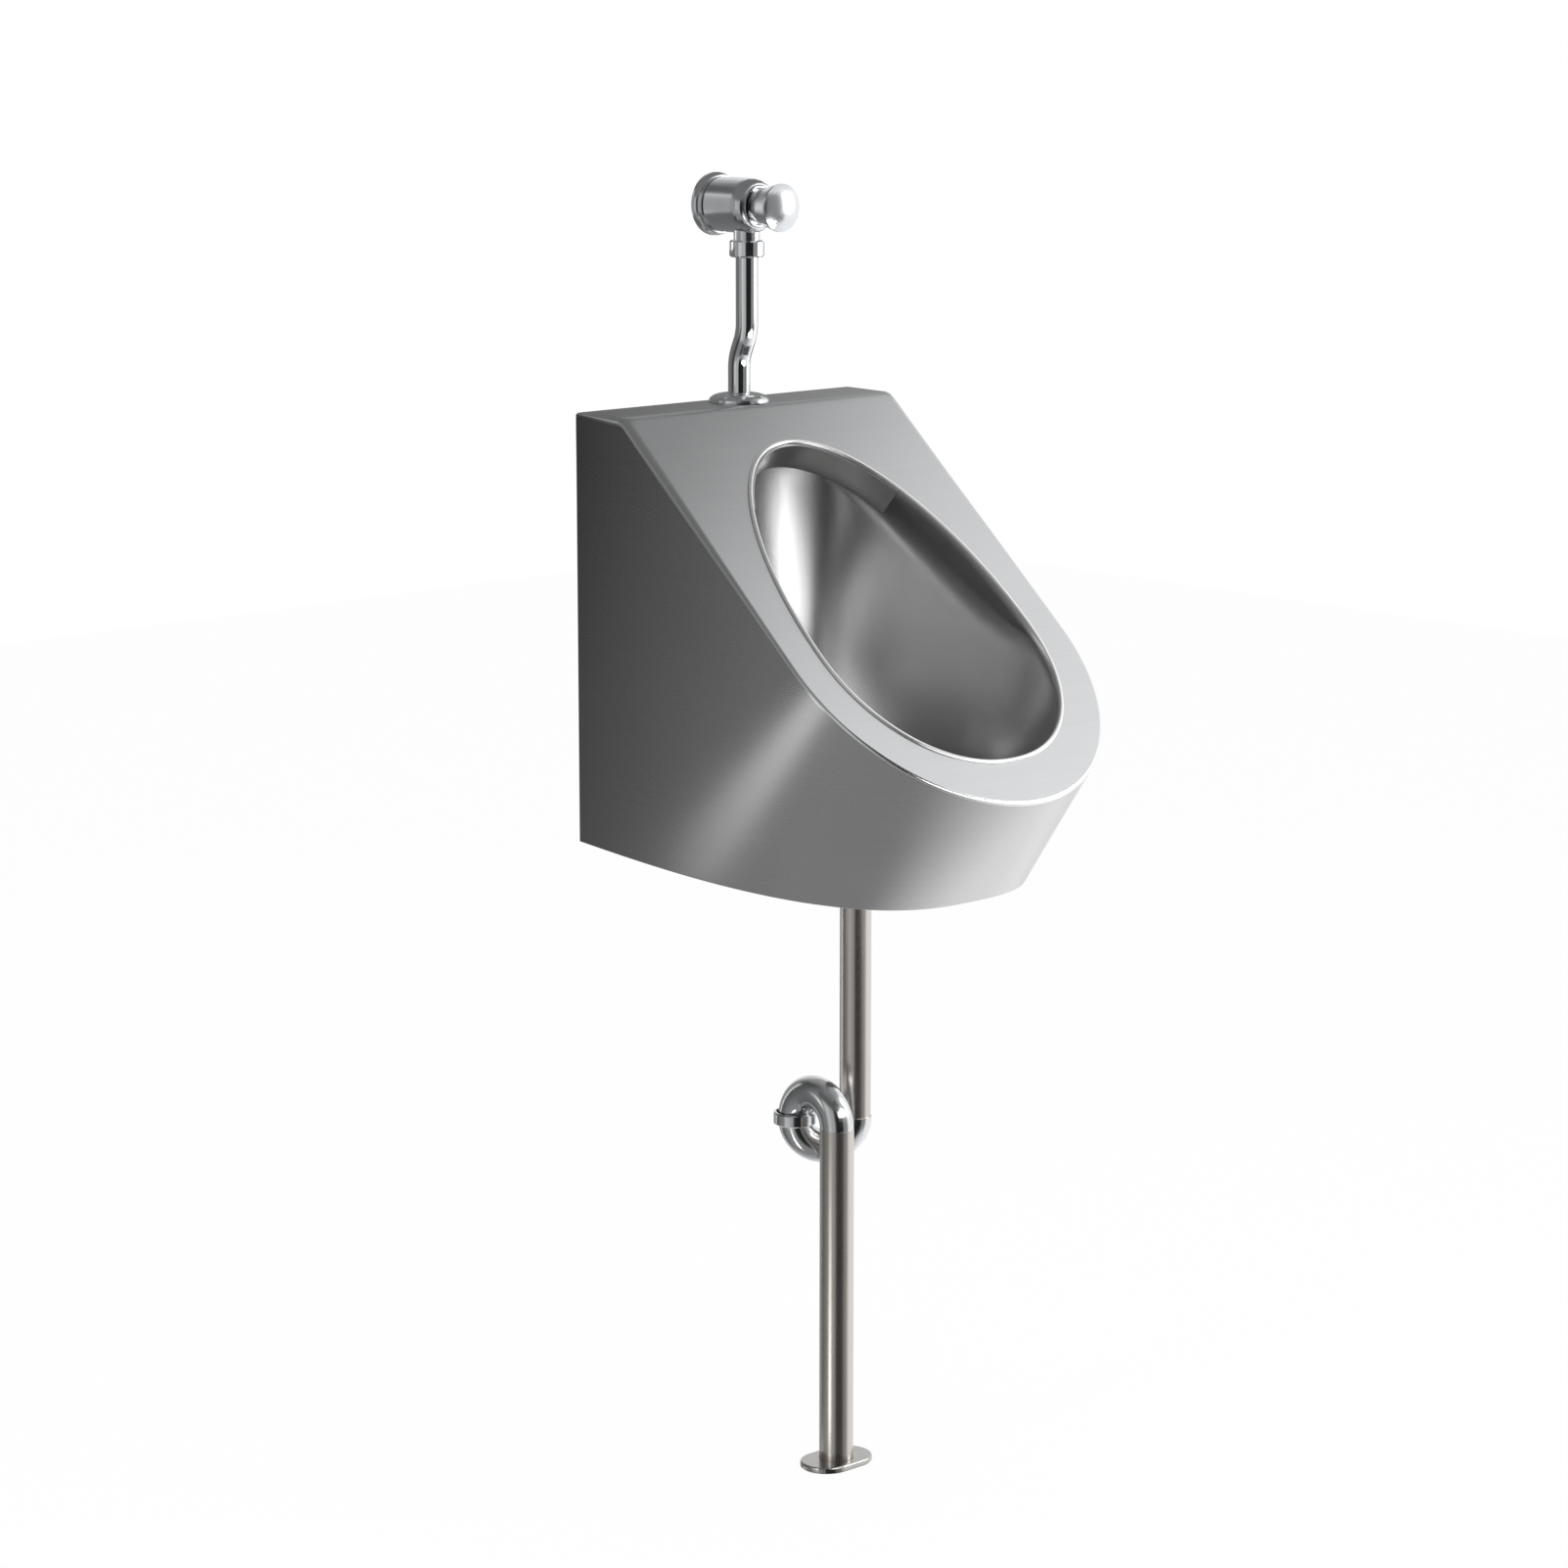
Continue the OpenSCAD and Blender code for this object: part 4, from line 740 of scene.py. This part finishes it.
# The inlet's thread: the radius dips by a cosine of the place along the axis plus the angle, so that one turn
# round is one pitch along. The dips fade out towards the wall rosette, and the free end is chamfered.
def inletNipple():
    turn = np.arange(nipple["sides"]) * 2 * math.pi / nipple["sides"]
    count = round(nipple["length"] / nipple["pitch"] * nipple["rowsPerTurn"])
    y = np.linspace(nipple["length"], 0, count)[:, None]
    dip = 0.5 - 0.5 * np.cos(2 * math.pi * y / nipple["pitch"] + turn)
    r = nipple["radius"] - nipple["cut"] * dip * np.clip((y - nipple["plain"]) / nipple["fade"], 0, 1)
    r = np.minimum(r, nipple["radius"] - nipple["chamfer"] + (nipple["length"] - y))

    def ring(radius, y):
        radius, y = np.broadcast_arrays(radius, y + 0 * turn)
        return np.stack([radius * np.sin(turn), y, valve["height"] + radius * np.cos(turn)], -1)

    thread = ring(r, y)
    corners = ((nipple["neck"], 0.0), (nipple["neck"], -nipple["inside"]),
               (nipple["bore"], -nipple["inside"]), (nipple["bore"], nipple["length"]))
    rest = [ring(radius, place) for radius, place in corners]
    grid = np.concatenate([thread, np.stack(rest)])
    piece = makeSkin("inletNipple", grid, "castBrass", ring=True)
    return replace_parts(piece, "inlet_nipple")


inletNipple()
print("inlet nipple made")


# light on matt surfaces, the floor, and what metal sees: levels from left to right above and below the
# horizon with the stretch of x that each runs over, where the two meet, and where the panels' band ends
studio = {"fill": 0.55, "floorZ": -902, "floorSize": 9000, "floorShare": 0.97, "floorGrey": 0.86,
          "above": (-0.1, 0.8, 0.13, 1.15), "below": (-0.35, 0.8, 0.30, 1.25), "meet": (-0.2, 0.3),
          "band": (0.38, 0.55)}

# what metal sees round the horizon: panels at a turn from +X towards +Y, as wide as their degrees
panels = [
    {"turn": 25, "half": 25, "soft": 12, "level": 1.0},
    {"turn": 62, "half": 10, "soft": 12, "level": 0.9},
    {"turn": 92, "half": 12, "soft": 12, "level": 0.32},
    {"turn": 117, "half": 6, "soft": 10, "level": 1.4},
    {"turn": 142, "half": 12, "soft": 12, "level": 0.38},
    {"turn": 184, "half": 8, "soft": 10, "level": 0.65},
    {"turn": 206, "half": 8, "soft": 10, "level": 0.48},
    {"turn": 248, "half": 22, "soft": 12, "level": 0.015},
    {"turn": 290, "half": 8, "soft": 14, "level": 0.30},
    {"turn": 340, "half": 20, "soft": 20, "level": 1.2},
]


# The camera sees plain white. Metal sees a studio that brightens from left to right, with the panels round
# its horizon.
def world():
    scene = bpy.context.scene
    scene.world = bpy.data.worlds.new("studio")
    scene.world.use_nodes = True
    board = Board(scene.world.node_tree)
    way = board.add("ShaderNodeTexCoord", out=3)
    x, height = (board.add("ShaderNodeSeparateXYZ", {}, {0: way}, out) for out in (0, 2))
    above, below = (board.grade(x, *studio[part]) for part in ("above", "below"))
    rise = board.grade(height, *studio["meet"], 0.0, 1.0)
    level = above * rise + below * (1 - rise)
    flat = board.add("ShaderNodeVectorMath", {"operation": "MULTIPLY"}, {0: way, 1: (1, 1, 0)})
    flat = board.add("ShaderNodeVectorMath", {"operation": "NORMALIZE"}, {0: flat})
    inBand = board.grade(height.maths("ABSOLUTE", height), *studio["band"], 1.0, 0.0, "SMOOTHSTEP")
    for panel in panels:
        turn = math.radians(panel["turn"])
        facing = board.add("ShaderNodeVectorMath", {"operation": "DOT_PRODUCT"},
                           {0: flat, 1: (math.cos(turn), math.sin(turn), 0)}, 1)
        edge = math.cos(math.radians(panel["half"] + panel["soft"]))
        share = board.grade(facing, edge, math.cos(math.radians(panel["half"])), 0.0, 1.0, "SMOOTHSTEP")
        share = share * inBand
        level = level * (1 - share) + share * panel["level"]
    path = {name: board.add("ShaderNodeLightPath", out=name) for name in
            ("Is Camera Ray", "Is Glossy Ray", "Is Transmission Ray")}
    plain = path["Is Camera Ray"].maths("MAXIMUM", path["Is Camera Ray"], path["Is Transmission Ray"])
    strength = path["Is Glossy Ray"] * level + (1 - path["Is Glossy Ray"]) * studio["fill"]
    strength = plain + (1 - plain) * strength
    board.add("ShaderNodeOutputWorld", {}, {0: board.add("ShaderNodeBackground", {}, {
        "Color": (1, 1, 1, 1), "Strength": strength})})


def flatSheet(name, corners, material):
    mesh = bpy.data.meshes.new(name)
    mesh.from_pydata([[v * mm for v in corner] for corner in corners], [], [(0, 1, 2, 3)])
    mesh.materials.append(material)
    sheet = bpy.data.objects.new(name, mesh)
    bpy.context.scene.collection.objects.link(sheet)
    return sheet


def floor():
    material, board = emptyMaterial("paleFloor")
    lit = board.add("ShaderNodeBsdfDiffuse", {}, {"Color": grey(studio["floorGrey"])})
    plain = board.add("ShaderNodeEmission", {}, {"Color": (1, 1, 1, 1), "Strength": 1.0})
    board.add("ShaderNodeOutputMaterial", {}, {0: board.add("ShaderNodeMixShader", {}, {
        0: studio["floorShare"], 1: lit, 2: plain})})
    half, z = studio["floorSize"] / 2, studio["floorZ"]
    corners = [(-half, -half, z), (half, -half, z), (half, half, z), (-half, half, z)]
    sheet = flatSheet("floor", corners, material)
    sheet.visible_glossy = False


# A card is seen only in reflections, as a flag or reflector in a studio is. Its grey runs between two points.
cards = {
    "cardWall": {"corners": [(-150, 60, 130), (-1000, 60, 130), (-1000, 60, -1000), (-150, 60, -1000)],
                 "run": ((-200, 60, 0), (-620, 60, -120)), "grey": (0.045, 0.26)},
    "cardStreak": {"corners": [(-370, 50, -360), (-900, 50, -300), (-900, 50, -520), (-370, 50, -480)],
                   "run": ((-370, 50, 0), (-800, 50, 0)), "grey": (0.24, 1.45)},
    "cardLedge": {"corners": [(-150, 60, 20), (-150, 60, 235), (520, 60, 235), (520, 60, 20)],
                  "run": ((-150, 60, 0), (420, 60, 0)), "grey": (0.14, 0.40)},
    "cardOver": {"corners": [(-900, 300, 620), (1300, 300, 620), (1300, -900, 620), (-900, -900, 620)],
                 "run": ((226, -72, 620), (600, -480, 620)), "grey": (0.20, 1.03), "kind": "SMOOTHSTEP"},
    "cardBowl": {"corners": [(-330, -900, -330), (-330, -900, -190), (235, -900, -45), (262, -900, -330)],
                 "run": ((-230, -900, 0), (262, -900, 0)), "grey": (3.6, 5.4)},
    "cardPatch": {"corners": [(262, -890, -330), (262, -890, -108), (400, -890, -108), (400, -890, -330)],
                  "run": ((262, -890, 0), (400, -890, 0)), "grey": (4.6, 4.6)},
    "cardPipe": {"corners": [(-295, -263, -960), (-299, -203, -960), (-299, -203, -640), (-295, -263, -640)],
                 "run": ((-297, -233, -640), (-297, -233, -900)), "grey": (0.6, 3.2)},
    "cardFront": {"corners": [(268, -900, -150), (235, -900, 60), (760, -900, 60), (760, -900, -150)],
                  "run": ((235, -900, 0), (760, -900, 0)), "grey": (0.15, 0.3)},
}


def card(name):
    settings = cards[name]
    material, board = emptyMaterial(name)
    first, last = (np.array(point) * mm for point in settings["run"])
    way = last - first
    place = board.add("ShaderNodeTexCoord", out=3)
    along = board.add("ShaderNodeVectorMath", {"operation": "DOT_PRODUCT"},
                      {0: place, 1: tuple(way / (way @ way))}, 1)
    level = board.grade(along - float(first @ way / (way @ way)), 0.0, 1.0, *settings["grey"],
                        settings.get("kind", "LINEAR"))
    board.add("ShaderNodeOutputMaterial", {}, {0: board.add("ShaderNodeEmission", {}, {
        "Color": (1, 1, 1, 1), "Strength": level})})
    sheet = flatSheet(name, settings["corners"], material)
    sheet.visible_camera = sheet.visible_diffuse = sheet.visible_shadow = False
    sheet.visible_transmission = False


lamps = {
    "lampLeft": {"at": (-1700, -150, 350), "to": (0, -200, -150), "size": (300, 1300), "power": 12,
                 "glossy": False},
    "lampRight": {"at": (1900, -1500, 700), "to": (0, -200, -150), "size": (900, 1600), "power": 22,
                  "glossy": True},
    "lampTop": {"at": (300, -700, 2100), "to": (0, -200, 0), "size": (1400, 900), "power": 22,
                "glossy": False},
}


def lamp(name):
    settings = lamps[name]
    light = bpy.data.lights.new(name, "AREA")
    light.shape = "RECTANGLE"
    light.size, light.size_y = (v * mm for v in settings["size"])
    light.energy = settings["power"]
    source = bpy.data.objects.new(name, light)
    bpy.context.scene.collection.objects.link(source)
    at, to = (np.array(settings[key], float) for key in ("at", "to"))
    back = unit(at - to)
    right = unit(np.cross([0, 0, 1], back))
    source.matrix_world = standAt(right, np.cross(back, right), back, at)
    source.visible_camera = False
    source.visible_glossy = settings["glossy"]


world()
floor()
for name in cards:
    card(name)
for name in lamps:
    lamp(name)
print("studio made")
